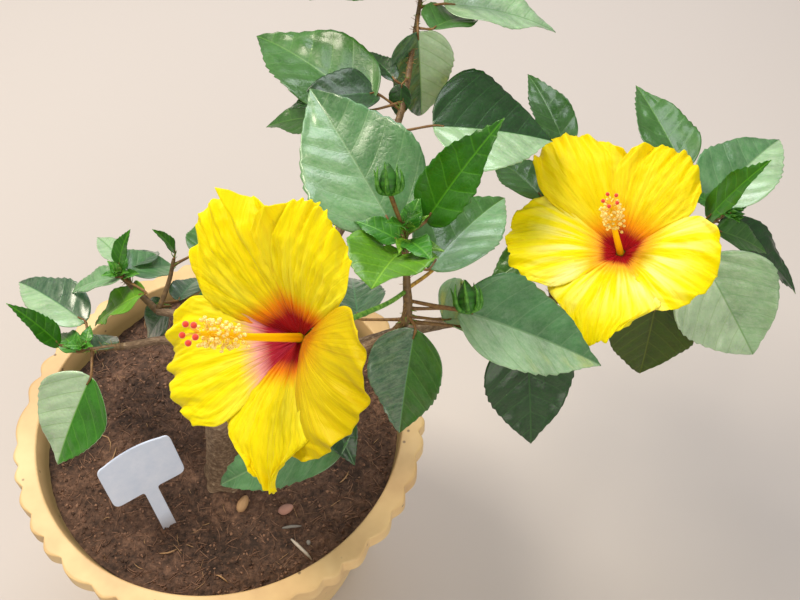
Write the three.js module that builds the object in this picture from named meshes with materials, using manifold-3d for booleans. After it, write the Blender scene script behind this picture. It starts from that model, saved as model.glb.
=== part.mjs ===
import * as THREE from 'three';
import { mergeVertices } from 'three/addons/utils/BufferGeometryUtils.js';
import Module from 'manifold-3d';

// Hibiscus shrub in its patio pot, in millimetres, +Z up.
// The origin is the centre of the pot's flat underside, and -Y is the side it is seen from.

// Driving dimensions of the pot
const POT_HEIGHT = 220;
const FOOT_RADIUS = 98;
const WALL = 3.5;
const FLOOR = 5;
const MOUTH_RADIUS = 138;
const RIM_RADIUS = 155;
const RIM_DROP = 15;
const RIM_PLATE = 4;
const SCALLOPS = 40;
const SCALLOP_DEPTH = 4.5;

// Driving dimensions of the potting mix and of the tag that stands in it
const SOIL_TOP = 201;
const SOIL_DIP = 3;
const TAG_WIDTH = 54;
const TAG_HEIGHT = 38;
const TAG_THICK = 1.6;
const TAG_STEM = 10;
const TAG_STEM_LENGTH = 58;
const TAG_FOOT = [-32.5, -78.5, SOIL_TOP];
const TAG_STAND = 58;
const TAG_LEAN_BACK = 20;
const TAG_LEAN_LEFT = 1;
const TAG_TURN = 32;

// Driving dimensions of the wood
const GAP = 0.3;
const TRUNK_FOOT = [4, -38];
const TRUNK_TOP = [15, -44, 300];
const TRUNK_RADIUS = 12;
const TRUNK_TOP_RADIUS = 9.5;
const ROOT_FLARE = 17;

// Driving dimensions of the foliage
const LEAF_WIDTH = 0.62;
const LEAF_BEND = 28;
const LEAF_FOLD = 14;
const LEAF_STATIONS = [0.03, 0.18, 0.45, 0.75, 1];
const STALK_RADIUS = 1.2;
const GOLDEN_ANGLE = 137.5;

// Driving dimensions of a bloom
const PETAL_LENGTH = 80;
const PETAL_WIDTH = 74;
const COLUMN_LENGTH = 66;
const ANTHERS = 12;
const STIGMAS = 5;

// Points on fused foliage that are closer to a flat face than this are left out
const FOLIAGE_FINEST = 0.3;

const wasm = await Module();
wasm.setup();

const rad = THREE.MathUtils.degToRad;
const vec = (p) => new THREE.Vector3(...p);
const UP = new THREE.Vector3(0, 0, 1);

// A direction from its compass angle (anticlockwise from +X) and its rise over the horizon, in degrees
function toward(azimuth, rise) {
  const level = Math.cos(rad(rise));
  return new THREE.Vector3(
    level * Math.cos(rad(azimuth)),
    level * Math.sin(rad(azimuth)),
    Math.sin(rad(rise)),
  );
}

// The same random numbers for the same seed
function seeded(seed) {
  let state = seed >>> 0;
  return () => {
    state = (state + 0x6d2b79f5) >>> 0;
    let t = state;
    t = Math.imul(t ^ (t >>> 15), t | 1);
    t ^= t + Math.imul(t ^ (t >>> 7), t | 61);
    return ((t ^ (t >>> 14)) >>> 0) / 4294967296;
  };
}

function geometryOf(points, triangles) {
  const geometry = new THREE.BufferGeometry();
  geometry.setAttribute('position', new THREE.Float32BufferAttribute(points.flatMap((p) => p.toArray()), 3));
  geometry.setIndex(triangles.flat());
  return geometry;
}

// Turns a closed three.js geometry into a solid that can be joined and cut
function solid(geometry) {
  const bare = geometry.clone();
  bare.deleteAttribute('normal');
  bare.deleteAttribute('uv');
  const merged = mergeVertices(bare, 1e-4);
  return new wasm.Manifold(new wasm.Mesh({
    numProp: 3,
    vertProperties: new Float32Array(merged.attributes.position.array),
    triVerts: new Uint32Array(merged.index.array),
  }));
}

// The largest closed shell of a solid: loose scraps are dropped and sealed hollows are filled
function largestShell(manifold, finest = 0.02) {
  const { vertProperties, triVerts } = manifold.asOriginal().simplify(finest).getMesh();
  const parent = Array.from({ length: vertProperties.length / 3 }, (_, i) => i);
  const root = (i) => {
    while (parent[i] !== i) {
      parent[i] = parent[parent[i]];
      i = parent[i];
    }
    return i;
  };
  for (let t = 0; t < triVerts.length; t += 3) {
    parent[root(triVerts[t + 1])] = root(triVerts[t]);
    parent[root(triVerts[t + 2])] = root(triVerts[t]);
  }
  const shells = new Map();
  const corner = (i) => new THREE.Vector3().fromArray(vertProperties, 3 * i);
  for (let t = 0; t < triVerts.length; t += 3) {
    const key = root(triVerts[t]);
    const shell = shells.get(key) ?? { volume: 0, triangles: [] };
    const [a, b, c] = [0, 1, 2].map((k) => corner(triVerts[t + k]));
    shell.volume += a.dot(b.cross(c)) / 6;
    shell.triangles.push(triVerts[t], triVerts[t + 1], triVerts[t + 2]);
    shells.set(key, shell);
  }
  const largest = [...shells.values()].sort((a, b) => b.volume - a.volume)[0];
  const geometry = new THREE.BufferGeometry();
  geometry.setAttribute('position', new THREE.Float32BufferAttribute(vertProperties, 3));
  geometry.setIndex(largest.triangles);
  return geometry;
}

const join = (solids) => solids.reduce((sum, next) => sum.add(next));

// A closed sheet of a real thickness over a grid of points.
// Its upper side faces the way of the cross product of along and across.
function thickSheet(rows, half) {
  const last = rows.length - 1;
  const wide = rows[0].length - 1;
  const sides = [[], []];
  rows.forEach((row, i) => row.forEach((p, j) => {
    const along = rows[Math.min(i + 1, last)][j].clone().sub(rows[Math.max(i - 1, 0)][j]);
    const across = row[Math.min(j + 1, wide)].clone().sub(row[Math.max(j - 1, 0)]);
    const normal = along.cross(across).normalize().multiplyScalar(half);
    sides[0].push(p.clone().add(normal));
    sides[1].push(p.clone().sub(normal));
  }));
  const id = (i, j) => i * (wide + 1) + j;
  const below = sides[0].length;
  const triangles = [];
  for (let i = 0; i < last; i += 1) {
    for (let j = 0; j < wide; j += 1) {
      const [a, b, c, d] = [id(i, j), id(i + 1, j), id(i + 1, j + 1), id(i, j + 1)];
      triangles.push([a, b, c], [a, c, d]);
      triangles.push([below + a, below + c, below + b], [below + a, below + d, below + c]);
    }
  }
  const rim = [];
  for (let i = 0; i < last; i += 1) rim.push(id(i, 0));
  for (let j = 0; j < wide; j += 1) rim.push(id(last, j));
  for (let i = last; i > 0; i -= 1) rim.push(id(i, wide));
  for (let j = wide; j > 0; j -= 1) rim.push(id(0, j));
  rim.forEach((p, k) => {
    const q = rim[(k + 1) % rim.length];
    triangles.push([q, p, below + p], [q, below + p, below + q]);
  });
  return solid(geometryOf(sides.flat(), triangles));
}

const curveThrough = (points) => new THREE.CatmullRomCurve3(points, false, 'catmullrom', 0.5);

// One tapering limb along a curve; radius is a function of the way along, and ribs swell the foot like roots
function limb(points, radius, { sides = 6, steps = 6, ribs = () => 1 } = {}) {
  const curve = curveThrough(points);
  const frames = curve.computeFrenetFrames(steps, false);
  const vertices = [];
  const triangles = [];
  for (let i = 0; i <= steps; i += 1) {
    const centre = curve.getPointAt(i / steps);
    for (let k = 0; k < sides; k += 1) {
      const turn = (2 * Math.PI * k) / sides;
      const reach = radius(i / steps) * ribs(i / steps, turn);
      vertices.push(centre.clone()
        .addScaledVector(frames.normals[i], reach * Math.cos(turn))
        .addScaledVector(frames.binormals[i], reach * Math.sin(turn)));
    }
  }
  for (let i = 0; i < steps; i += 1) {
    for (let k = 0; k < sides; k += 1) {
      const next = (k + 1) % sides;
      const [a, b] = [i * sides + k, i * sides + next];
      triangles.push([a, b, b + sides], [a, b + sides, a + sides]);
    }
  }
  for (let k = 1; k < sides - 1; k += 1) {
    const top = steps * sides;
    triangles.push([0, k + 1, k], [top, top + k, top + k + 1]);
  }
  return solid(geometryOf(vertices, triangles));
}

const taper = (from, to) => (t) => from + (to - from) * t;

const group = new THREE.Group();

function addPiece(name, geometry, color, roughness) {
  const material = new THREE.MeshStandardMaterial({ color, roughness, metalness: 0 });
  const mesh = new THREE.Mesh(geometry, material);
  mesh.name = name;
  group.add(mesh);
  return mesh;
}

// A ring or disc from its section, turned about the pot's upright axis
function turned(section, segments) {
  const lathe = new THREE.LatheGeometry(section.map(([r, z]) => new THREE.Vector2(r, z)), segments);
  return lathe.rotateX(Math.PI / 2);
}

// The moulded pot: a tapering bucket under a flat, scalloped rim whose edge turns down
const wallRadius = (z) => FOOT_RADIUS + ((MOUTH_RADIUS + WALL - FOOT_RADIUS) * z) / POT_HEIGHT;

function scallopedEdge() {
  const samples = 4 * SCALLOPS;
  return Array.from({ length: samples }, (_, k) => {
    const turn = (2 * Math.PI * k) / samples;
    const lobe = Math.abs(Math.cos((SCALLOPS * turn) / 2));
    const reach = RIM_RADIUS - SCALLOP_DEPTH * (1 - lobe);
    return new THREE.Vector2(reach * Math.cos(turn), reach * Math.sin(turn));
  });
}

function makePot() {
  const bucket = solid(turned([
    [0, 0],
    [FOOT_RADIUS - 3, 0],
    [FOOT_RADIUS, 3],
    [wallRadius(POT_HEIGHT), POT_HEIGHT],
    [MOUTH_RADIUS, POT_HEIGHT],
    [wallRadius(FLOOR) - WALL, FLOOR],
    [0, FLOOR],
  ], 64));
  const outline = new THREE.Shape(scallopedEdge());
  const mouth = new THREE.Path();
  mouth.absarc(0, 0, MOUTH_RADIUS + 1, 0, 2 * Math.PI, true);
  outline.holes.push(mouth);
  const plate = new THREE.ExtrudeGeometry(outline, { depth: RIM_DROP, bevelEnabled: false, curveSegments: 24 });
  plate.translate(0, 0, POT_HEIGHT - RIM_DROP);
  const under = POT_HEIGHT - RIM_DROP - 1;
  const hollow = turned([
    [wallRadius(under) - 1, under],
    [RIM_RADIUS - SCALLOP_DEPTH - WALL, under],
    [RIM_RADIUS - SCALLOP_DEPTH - WALL, POT_HEIGHT - RIM_PLATE],
    [wallRadius(under) - 1, POT_HEIGHT - RIM_PLATE],
    [wallRadius(under) - 1, under],
  ], 64);
  return bucket.add(solid(plate).subtract(solid(hollow)));
}

const pot = makePot();
addPiece('pot', largestShell(pot), 0xe2c38c, 0.55);

// The bare plant tag: a rounded head on a narrow stem that is pushed into the mix
function tagBlade(spare) {
  const [w, h, r] = [TAG_WIDTH / 2 + spare, TAG_HEIGHT / 2 + spare, 6];
  const s = TAG_STEM / 2 + spare;
  const shape = new THREE.Shape();
  shape.moveTo(-w, -h + r);
  shape.quadraticCurveTo(-w, -h, -w + r, -h);
  shape.lineTo(-s, -h);
  shape.lineTo(-s, -h - TAG_STEM_LENGTH);
  shape.lineTo(s, -h - TAG_STEM_LENGTH);
  shape.lineTo(s, -h);
  shape.lineTo(w - r, -h);
  shape.quadraticCurveTo(w, -h, w, -h + r);
  shape.lineTo(w, h - r);
  shape.quadraticCurveTo(w, h, w - r, h);
  shape.quadraticCurveTo(0, h + r, -w + r, h);
  shape.quadraticCurveTo(-w, h, -w, h - r);
  const depth = TAG_THICK + 2 * spare;
  const blade = new THREE.ExtrudeGeometry(shape, { depth, bevelEnabled: false, curveSegments: 5 });
  blade.translate(0, 0, -depth / 2);
  blade.translate(0, TAG_STAND, 0);
  blade.rotateZ(rad(TAG_LEAN_LEFT));
  blade.rotateX(Math.PI / 2 - rad(TAG_LEAN_BACK));
  blade.rotateZ(rad(TAG_TURN));
  return blade.translate(...TAG_FOOT);
}

const tag = solid(tagBlade(0));
addPiece('tag', largestShell(tag), 0xbcc6dc, 0.45);

// Potting mix: it fills the bucket to below the rim and dips a little away from the trunk
function makeSoil() {
  const inner = (z) => wallRadius(z) - WALL - 2 * GAP;
  const rings = [120, 96, 72, 48, 24, 0];
  const disc = turned([
    [0, FLOOR + GAP],
    [inner(FLOOR), FLOOR + GAP],
    [inner(SOIL_TOP - SOIL_DIP), SOIL_TOP - SOIL_DIP],
    ...rings.map((r) => [r, SOIL_TOP]),
  ], 36);
  const place = disc.attributes.position;
  for (let i = 0; i < place.count; i += 1) {
    const [x, y, z] = [place.getX(i), place.getY(i), place.getZ(i)];
    const away = Math.hypot(x - TRUNK_FOOT[0], y - TRUNK_FOOT[1]);
    if (z > SOIL_TOP - 1 && away > 2 * ROOT_FLARE && Math.hypot(x, y) > 1) {
      const swell = 0.5 + 0.25 * Math.sin(x / 17 + 1) + 0.25 * Math.cos(y / 13);
      place.setZ(i, SOIL_TOP - SOIL_DIP * swell);
    }
  }
  return solid(disc).subtract(solid(tagBlade(GAP)));
}

const soil = makeSoil();
addPiece('soil', largestShell(soil), 0x4a382f, 0.95);

// The trunk: a flat cut and root flare at the mix, a slight lean to the right, sawn off at the fork
const TRUNK_LINE = [[...TRUNK_FOOT, SOIL_TOP - 4], [5, -38, 214], [9, -40, 250], TRUNK_TOP].map(vec);

function trunkSolid(spare) {
  const radius = (t) => {
    const flare = (ROOT_FLARE - TRUNK_RADIUS) * Math.exp(-t * 9);
    return taper(TRUNK_RADIUS, TRUNK_TOP_RADIUS)(t) + flare + spare;
  };
  const ribs = (t, turn) => 1 + 0.14 * Math.exp(-t * 9) * Math.cos(5 * turn);
  const line = [...TRUNK_LINE.slice(0, -1), TRUNK_LINE.at(-1).clone().addScaledVector(UP, spare)];
  const ground = new THREE.BoxGeometry(100, 100, 40).translate(...TRUNK_FOOT, SOIL_TOP + GAP - 20);
  return limb(line, radius, { sides: 12, steps: 9, ribs }).subtract(solid(ground));
}

const trunk = trunkSolid(0);
addPiece('trunk', largestShell(trunk), 0x6b5848, 0.85);

// The boughs leave the trunk and run out to the masses; each ends where its mass begins
const BOUGHS = {
  bough_centre: {
    line: [[13, -43, 288], [40, -41, 316], [85, -35, 346], [130, -28, 370]],
    from: 6, to: 3.8,
  },
  bough_right: {
    line: [[12, -40, 272], [60, -14, 302], [136, 10, 320], [235, 44, 306], [318, 80, 306]],
    from: 5.6, to: 3,
  },
  bough_rear: {
    line: [[12, -40, 286], [40, -4, 315], [80, 44, 350], [118, 100, 385]],
    from: 5, to: 3,
  },
  bough_left: {
    line: [[13, -42, 290], [9, -8, 318], [-8, 16, 327], [-31, 24, 326]],
    from: 4.4, to: 2.6,
  },
  bough_left_low: {
    line: [[11, -45, 276], [3, -12, 305], [-20, 6, 315], [-54, 5, 311]],
    from: 4.2, to: 2.6,
  },
};

const TWIG_TIP = 1.3;
const limbs = [trunkSolid(GAP)];
const clearOf = (piece, others) => others.reduce((rest, other) => rest.subtract(other), piece);
const boughs = {};
for (const [name, { line, from, to }] of Object.entries(BOUGHS)) {
  const points = line.map(vec);
  const shape = { sides: 8, steps: 3 * (points.length - 1) };
  const wood = clearOf(limb(points, taper(from, to), shape), limbs);
  boughs[name] = { points, tip: to };
  const end = points.at(-1).clone().addScaledVector(curveThrough(points).getTangent(1), GAP);
  limbs.push(limb([...points.slice(0, -1), end], taper(from + GAP, to + GAP), shape));
  addPiece(name, largestShell(wood), 0x6f5a48, 0.8);
}

// A leaf blade: an oval that draws out to a point, folded a little along its midrib and bent down
const leafOutline = (t) => Math.sin(Math.PI * t ** 0.66) ** 0.9 * (1 - 0.2 * t ** 5);

function leafBlade(base, row) {
  const { blade: [azimuth, rise, length], wide = LEAF_WIDTH, bend = LEAF_BEND, fold = LEAF_FOLD, roll = 0 } = row;
  const along = toward(azimuth, rise);
  const up = UP.clone().addScaledVector(along, -UP.dot(along)).normalize().applyAxisAngle(along, rad(roll));
  const side = up.clone().cross(along);
  const turn = rad(bend);
  const rows = LEAF_STATIONS.map((t) => {
    const forward = (length * Math.sin(turn * t)) / turn;
    const fall = (length * (1 - Math.cos(turn * t))) / turn;
    const half = Math.max((leafOutline(t) * wide * length) / 2, 0.6);
    const lift = half * Math.sin(rad(fold));
    return [-1, 0, 1].map((edge) => base.clone()
      .addScaledVector(along, forward)
      .addScaledVector(up, -fall + Math.abs(edge) * lift)
      .addScaledVector(side, edge * half * Math.cos(rad(fold))));
  });
  return thickSheet(rows, 0.15 + 0.0055 * length);
}

// A leaf on its stalk; the stalk starts inside the twig and ends inside the blade
function leaf(node, row) {
  const [azimuth, rise, length] = row.stalk;
  const lead = toward(azimuth, rise);
  const end = toward(row.blade[0], row.blade[1]);
  const base = node.clone().addScaledVector(lead, length);
  const sunk = base.clone().addScaledVector(end, 0.1 * row.blade[2]);
  const stalk = limb([node, base, sunk], taper(STALK_RADIUS, 0.9), { sides: 3, steps: 3 });
  return stalk.add(leafBlade(base, row));
}

// Leaves by the seeded rule: round the twig by the golden angle, longer the further from its tip
function leavesByRule({ count, first, last, start, rise, long, seed }) {
  const random = seeded(seed);
  return Array.from({ length: count }, (_, k) => {
    const along = count > 1 ? k / (count - 1) : 0;
    const azimuth = start + GOLDEN_ANGLE * k + 24 * (random() - 0.5);
    const length = long * (1 - 0.5 * along) * (0.85 + 0.3 * random());
    const lift = rise + 35 * along + 20 * (random() - 0.5);
    return {
      on: first + (last - first) * along,
      stalk: [azimuth, lift + 25, 0.3 * length],
      blade: [azimuth, lift - 10, length],
    };
  });
}

// A flower bud on its stalk, in its collar of narrow bracts
function bud(node, { stalk: [azimuth, rise, length], size }) {
  const lead = toward(azimuth, rise);
  const foot = node.clone().addScaledVector(lead, length);
  const top = foot.clone().addScaledVector(lead, size);
  const swell = (t) => 0.6 + size * 0.36 * Math.sin(Math.PI * Math.min(1, 0.12 + 0.88 * t)) ** 0.8;
  const parts = [
    limb([node, foot.clone().addScaledVector(lead, 1)], taper(1.3, 1.5), { sides: 5, steps: 2 }),
    limb([foot, top], swell, { sides: 7, steps: 5 }),
  ];
  const across = new THREE.Vector3().crossVectors(lead, UP).normalize();
  for (let k = 0; k < 6; k += 1) {
    const out = across.clone().applyAxisAngle(lead, (k * Math.PI) / 3);
    const tip = foot.clone().addScaledVector(lead, 0.7 * size).addScaledVector(out, 0.48 * size);
    const knee = foot.clone().addScaledVector(out, 0.4 * size).addScaledVector(lead, 0.2 * size);
    parts.push(limb([foot, knee, tip], taper(1.1, 0.45), { sides: 3, steps: 3 }));
  }
  return join(parts);
}

// The masses of foliage: a stem that carries on from its bough, side twigs, and leaves in the order they grow.
// A leaf has its place on the stem from 0 to 1, its stalk and its blade as [azimuth, rise, length].
const MASSES = {
  mass_centre: {
    bough: 'bough_centre',
    stem: [[140, -23, 386], [140, -13, 410], [139, 2, 440]],
    leaves: [
      { on: 0.36, stalk: [300, -8, 10], blade: [252, -58, 80], wide: 0.66, bend: 12, roll: 8 },
      { on: 0.28, stalk: [3, -15, 80], blade: [282, -56, 85], wide: 0.72, bend: 14 },
      { on: 0.3, stalk: [162, -23, 34], blade: [97, -13, 61], wide: 0.66 },
      { on: 0.34, stalk: [15, -28, 26], blade: [28, -28, 76], wide: 0.8 },
      { on: 0.42, stalk: [4, -6, 30], blade: [353, -18, 110], wide: 0.6, bend: 20, roll: 10 },
      { on: 0.8, stalk: [357, -32, 15], blade: [55, 2, 95], wide: 0.56 },
      { on: 0.86, stalk: [222, 23, 7], blade: [251, 37, 48], wide: 1.2, bend: 22, fold: 20 },
      { on: 0.94, stalk: [144, 10, 8], blade: [122, 25, 108], wide: 0.7, bend: 18, roll: -10 },
      { on: 0.96, stalk: [33, 11, 14], blade: [20, 62, 80], wide: 0.46, bend: 16, roll: 20 },
    ],
    rules: [{ count: 5, first: 0.86, last: 1, start: 160, rise: 35, long: 30, seed: 11 }],
    buds: [
      { on: 0.97, stalk: [150, 70, 30], size: 17 },
      { on: 0.52, stalk: [350, 10, 36], size: 20 },
    ],
    cut: [{ on: 0.56, stalk: [20, 25, 28] }],
  },
  mass_rear: {
    bough: 'bough_rear',
    stem: [[136, 140, 398], [146, 195, 420], [154, 243, 443]],
    leaves: [
      { on: 0.24, stalk: [15, 0, 27], blade: [5, -6, 94], wide: 0.94, bend: 20, roll: 10 },
      { on: 0.26, stalk: [165, 5, 29], blade: [159, -10, 80], wide: 0.6 },
      { on: 0.36, stalk: [160, 30, 20], blade: [198, 21, 64], wide: 0.68, bend: 34 },
      { on: 0.4, stalk: [209, 10, 29], blade: [135, 12, 120], wide: 0.6 },
      { on: 0.46, stalk: [165, 32, 9], blade: [122, 5, 47], wide: 0.36 },
      { on: 0.5, stalk: [251, 24, 14], blade: [256, -56, 27] },
      { on: 0.72, stalk: [299, 33, 25], blade: [55, -13, 66], wide: 0.6 },
      { on: 0.78, stalk: [269, 7, 20], blade: [288, -75, 72], wide: 0.68, bend: 12 },
      { on: 0.82, stalk: [355, 13, 17], blade: [7, -7, 94], wide: 0.6 },
      { on: 0.86, stalk: [120, 20, 20], blade: [118, 0, 84] },
      { on: 0.9, stalk: [200, 30, 14], blade: [190, 12, 70] },
    ],
    rules: [{ count: 5, first: 0.9, last: 1, start: 60, rise: 10, long: 56, seed: 5 }],
    buds: [{ on: 1, stalk: [90, 55, 12], size: 14 }],
  },
  mass_rear_right: {
    bough: 'bough_right',
    side: 0.78,
    stem: [[248, 66, 301], [258, 96, 310], [266, 122, 318]],
    leaves: [
      { on: 1, stalk: [93, 21, 50], blade: [108, 20, 81], wide: 0.42 },
      { on: 0.9, stalk: [140, 16, 26], blade: [124, 4, 66], wide: 0.6 },
    ],
    rules: [{ count: 4, first: 0.5, last: 0.95, start: 70, rise: -20, long: 64, seed: 21 }],
    buds: [],
  },
  mass_right: {
    bough: 'bough_right',
    stem: [[335, 87, 312], [355, 96, 325], [372, 102, 338]],
    leaves: [
      { on: 0.2, stalk: [265, -41, 34], blade: [266, -69, 71], wide: 0.92, bend: 12 },
      { on: 0.5, stalk: [296, 12, 21], blade: [317, -43, 96], wide: 0.86, bend: 18, roll: 35 },
      { on: 0.5, stalk: [84, 16, 60], blade: [103, 4, 100], wide: 0.46, bend: 12 },
      { on: 0.8, stalk: [41, -29, 14], blade: [344, -25, 98], wide: 0.42 },
      { on: 0.92, stalk: [142, 28, 12], blade: [47, 9, 107], wide: 0.56 },
      { on: 1, stalk: [207, 8, 18], blade: [359, 73, 68], wide: 0.42, bend: 14 },
    ],
    rules: [
      { count: 4, first: 0.9, last: 1, start: 20, rise: 25, long: 26, seed: 3 },
      { count: 4, first: 0.1, last: 0.9, start: 70, rise: -25, long: 76, seed: 8 },
    ],
    buds: [{ on: 1, stalk: [300, 45, 10], size: 8 }],
  },
  mass_left: {
    bough: 'bough_left',
    stem: [[-44, 34, 333], [-52, 40, 337], [-57, 43, 342]],
    twigs: [{ on: 0.02, line: [[4, 3, 5], [10, 14, 16], [14, 22, 28]] }],
    leaves: [
      { on: 0.55, stalk: [105, 14, 14], blade: [75, -22, 46], wide: 0.62 },
      { on: 0.62, stalk: [94, 41, 8], blade: [43, -21, 43], wide: 0.8 },
      { on: 0.8, stalk: [95, 25, 12], blade: [130, 0, 42], wide: 0.42 },
      { on: 0.86, stalk: [321, 11, 25], blade: [174, -35, 67], wide: 0.42, bend: 20 },
      { on: 0.9, stalk: [300, 50, 5], blade: [168, -20, 55], wide: 0.38 },
      { on: 1, stalk: [89, 44, 6], blade: [43, 73, 31], wide: 0.52 },
      { twig: 0, on: 0.3, stalk: [45, -36, 15], blade: [78, -18, 45], wide: 0.5 },
      { twig: 0, on: 0.9, stalk: [24, 16, 18], blade: [89, -8, 49], wide: 0.38 },
      { twig: 0, on: 1, stalk: [79, 27, 5], blade: [181, 81, 27], wide: 0.42 },
      { on: 0.05, stalk: [38, -32, 13], blade: [205, -40, 40], wide: 0.85 },
    ],
    rules: [{ count: 3, first: 0.8, last: 1, start: 0, rise: 40, long: 16, seed: 7 }],
    buds: [],
  },
  mass_left_low: {
    bough: 'bough_left_low',
    stem: [[-64, 3, 312], [-73, 1, 313], [-81, 0, 315]],
    leaves: [
      { on: 0.25, stalk: [201, 11, 13], blade: [71, -20, 29], wide: 0.85 },
      { on: 0.5, stalk: [43, 3, 34], blade: [131, -19, 45], wide: 0.5 },
      { on: 0.75, stalk: [277, -5, 20], blade: [233, -41, 75], wide: 0.78, bend: 16, roll: -8 },
      { on: 0.8, stalk: [197, 0, 8], blade: [130, -14, 42], wide: 0.42 },
      { on: 0.9, stalk: [102, -4, 23], blade: [141, -1, 89], wide: 0.43 },
      { on: 1, stalk: [184, 24, 15], blade: [167, 70, 48], wide: 0.38, bend: 24 },
    ],
    rules: [{ count: 3, first: 0.8, last: 1, start: 60, rise: 30, long: 20, seed: 14 }],
    buds: [],
  },
  mass_front: {
    bough: 'bough_centre',
    side: 0.55,
    stem: [[80, -50, 343], [86, -58, 344]],
    leaves: [{ on: 1, stalk: [321, -9, 26], blade: [187, -28, 112], wide: 0.43, bend: 16, roll: -12 }],
    rules: [{ count: 3, first: 0.5, last: 1, start: 175, rise: -20, long: 56, seed: 31 }],
    buds: [],
  },
  mass_inner: {
    bough: 'bough_rear',
    side: 0.5,
    stem: [[52, 16, 340], [46, 22, 352], [42, 26, 364]],
    leaves: [],
    rules: [{ count: 9, first: 0.2, last: 1, start: 130, rise: -12, long: 62, seed: 17 }],
    buds: [],
  },
};

// What a leaf must stay clear of: the wood, the pot, the mix, and the masses and blooms made before it
const occupied = [...limbs, pot, soil, tag];
const touches = (piece) => occupied.some((other) => piece.intersect(other).volume() > 0);

// The blooms: five overlapping petals round a throat, the column with its anthers and stigmas,
// the green calyx behind, and the long stalk back to the shoot
const BLOOMS = {
  bloom_left: {
    throat: [71, -74, 439],
    faces: [217, 42],
    stem: [[144, -16, 402], [128, -32, 412], [104, -52, 422]],
    petals: [
      { turn: 20, long: 0.9, wide: 0.95, lift: 4 },
      { turn: -88, long: 0.86, wide: 1.2, lift: 0 },
      { turn: -156, long: 0.96, wide: 0.7, lift: -2 },
      { turn: 147, long: 0.92, wide: 0.95, lift: -2 },
      { turn: 74, long: 1.02, wide: 0.95, lift: 6 },
    ],
  },
  bloom_right: {
    throat: [292, 77, 336],
    faces: [215, 72],
    stem: [[334, 86, 316], [322, 86, 306], [308, 82, 302]],
    petals: [
      { turn: 17, long: 0.94, wide: 0.94, lift: 6 },
      { turn: -54, long: 0.9, wide: 0.94, lift: 2 },
      { turn: -135, long: 0.96, wide: 0.86, lift: -2 },
      { turn: 134, long: 1, wide: 1, lift: -2 },
      { turn: 69, long: 1.1, wide: 1.02, lift: 4 },
    ],
  },
};

// One petal over its length u and width v, in the bloom's own frame: +Z out of the throat, +Y the petal's way
function petalPoint(u, v, { long, wide, lift }, phase) {
  const reach = u * (1 - 0.2 * v * v);
  const out = 3 + PETAL_LENGTH * long * reach;
  const half = 3 + (PETAL_WIDTH / 2) * wide * Math.sin((Math.PI / 2) * Math.min(1, u / 0.78)) ** 1.2;
  const cup = -16 + 30 * (1 - (1 - reach) ** 2) - 8 * reach ** 4;
  const ruffle = 2.4 * u * u * Math.sin(5 * v + phase);
  const overlap = 4 * v * u;
  return new THREE.Vector3(v * half, out, cup + lift * reach * reach + ruffle + overlap);
}

function bloomSolid({ throat, faces, stem, petals }) {
  const axis = toward(...faces);
  const north = UP.clone().addScaledVector(axis, -UP.dot(axis)).normalize();
  const east = north.clone().cross(axis);
  const place = new THREE.Matrix4().makeBasis(east, north, axis).setPosition(vec(throat));
  const parts = [];
  petals.forEach((petal, index) => {
    const spin = new THREE.Matrix4().makeRotationZ(rad(petal.turn)).premultiply(place);
    const rows = [0, 0.22, 0.45, 0.68, 0.86, 1].map((u) => [-1, -0.5, 0, 0.5, 1]
      .map((v) => petalPoint(u, -v, petal, index).applyMatrix4(spin)));
    parts.push(thickSheet(rows, 0.6));
  });
  const inBloom = (x, y, z) => new THREE.Vector3(x, y, z).applyMatrix4(place);
  parts.push(limb([inBloom(0, 0, -17), inBloom(0, 1, 20), inBloom(0, 4, COLUMN_LENGTH - 16)],
    taper(2.2, 1.2), { sides: 6, steps: 4 }));
  const random = seeded(ANTHERS);
  for (let k = 0; k < ANTHERS; k += 1) {
    const turn = rad(GOLDEN_ANGLE * k);
    const height = COLUMN_LENGTH * (0.42 + (0.5 * k) / ANTHERS) - 16;
    const reach = 5 + 2.5 * random();
    const root = inBloom(0, 1.5, height);
    const end = inBloom(reach * Math.cos(turn), 2 + reach * Math.sin(turn), height + 2);
    parts.push(limb([root, end], taper(0.5, 0.5), { sides: 3, steps: 1 }));
    parts.push(solid(new THREE.OctahedronGeometry(1.5).translate(end.x, end.y, end.z)));
  }
  const fork = COLUMN_LENGTH - 17;
  for (let k = 0; k < STIGMAS; k += 1) {
    const turn = (2 * Math.PI * k) / STIGMAS;
    const end = inBloom(6 * Math.cos(turn), 4 + 6 * Math.sin(turn), fork + 8);
    parts.push(limb([inBloom(0, 4, fork - 1), end], taper(0.7, 0.6), { sides: 3, steps: 1 }));
    parts.push(solid(new THREE.OctahedronGeometry(2.1).translate(end.x, end.y, end.z)));
  }
  parts.push(limb([inBloom(0, 0, -34), inBloom(0, 0, -26), inBloom(0, 0, -8)],
    (t) => 2.5 + 5.5 * Math.sin((Math.PI / 2) * t), { sides: 8, steps: 4 }));
  const stalk = [...stem.map(vec), inBloom(0, 0, -30)];
  parts.push(limb(stalk, taper(1.7, 2.3), { sides: 6, steps: 7 }));
  return join(parts);
}

function massStem({ bough, side, stem }) {
  const { points, tip } = boughs[bough];
  const line = curveThrough(points);
  const start = line.getPoint(side ?? 1);
  const lead = line.getTangent(side ?? 1);
  if (side === undefined) start.addScaledVector(lead, 2 * GAP);
  const from = side === undefined ? tip : 0.8 * tip;
  const path = [start, ...stem.map(vec)];
  const wood = clearOf(limb(path, taper(from, TWIG_TIP), { sides: 6, steps: 2 * path.length }), limbs);
  return { path, from, wood: solid(largestShell(wood)) };
}

const stems = Object.fromEntries(Object.entries(MASSES).map(([name, mass]) => [name, massStem(mass)]));

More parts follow.
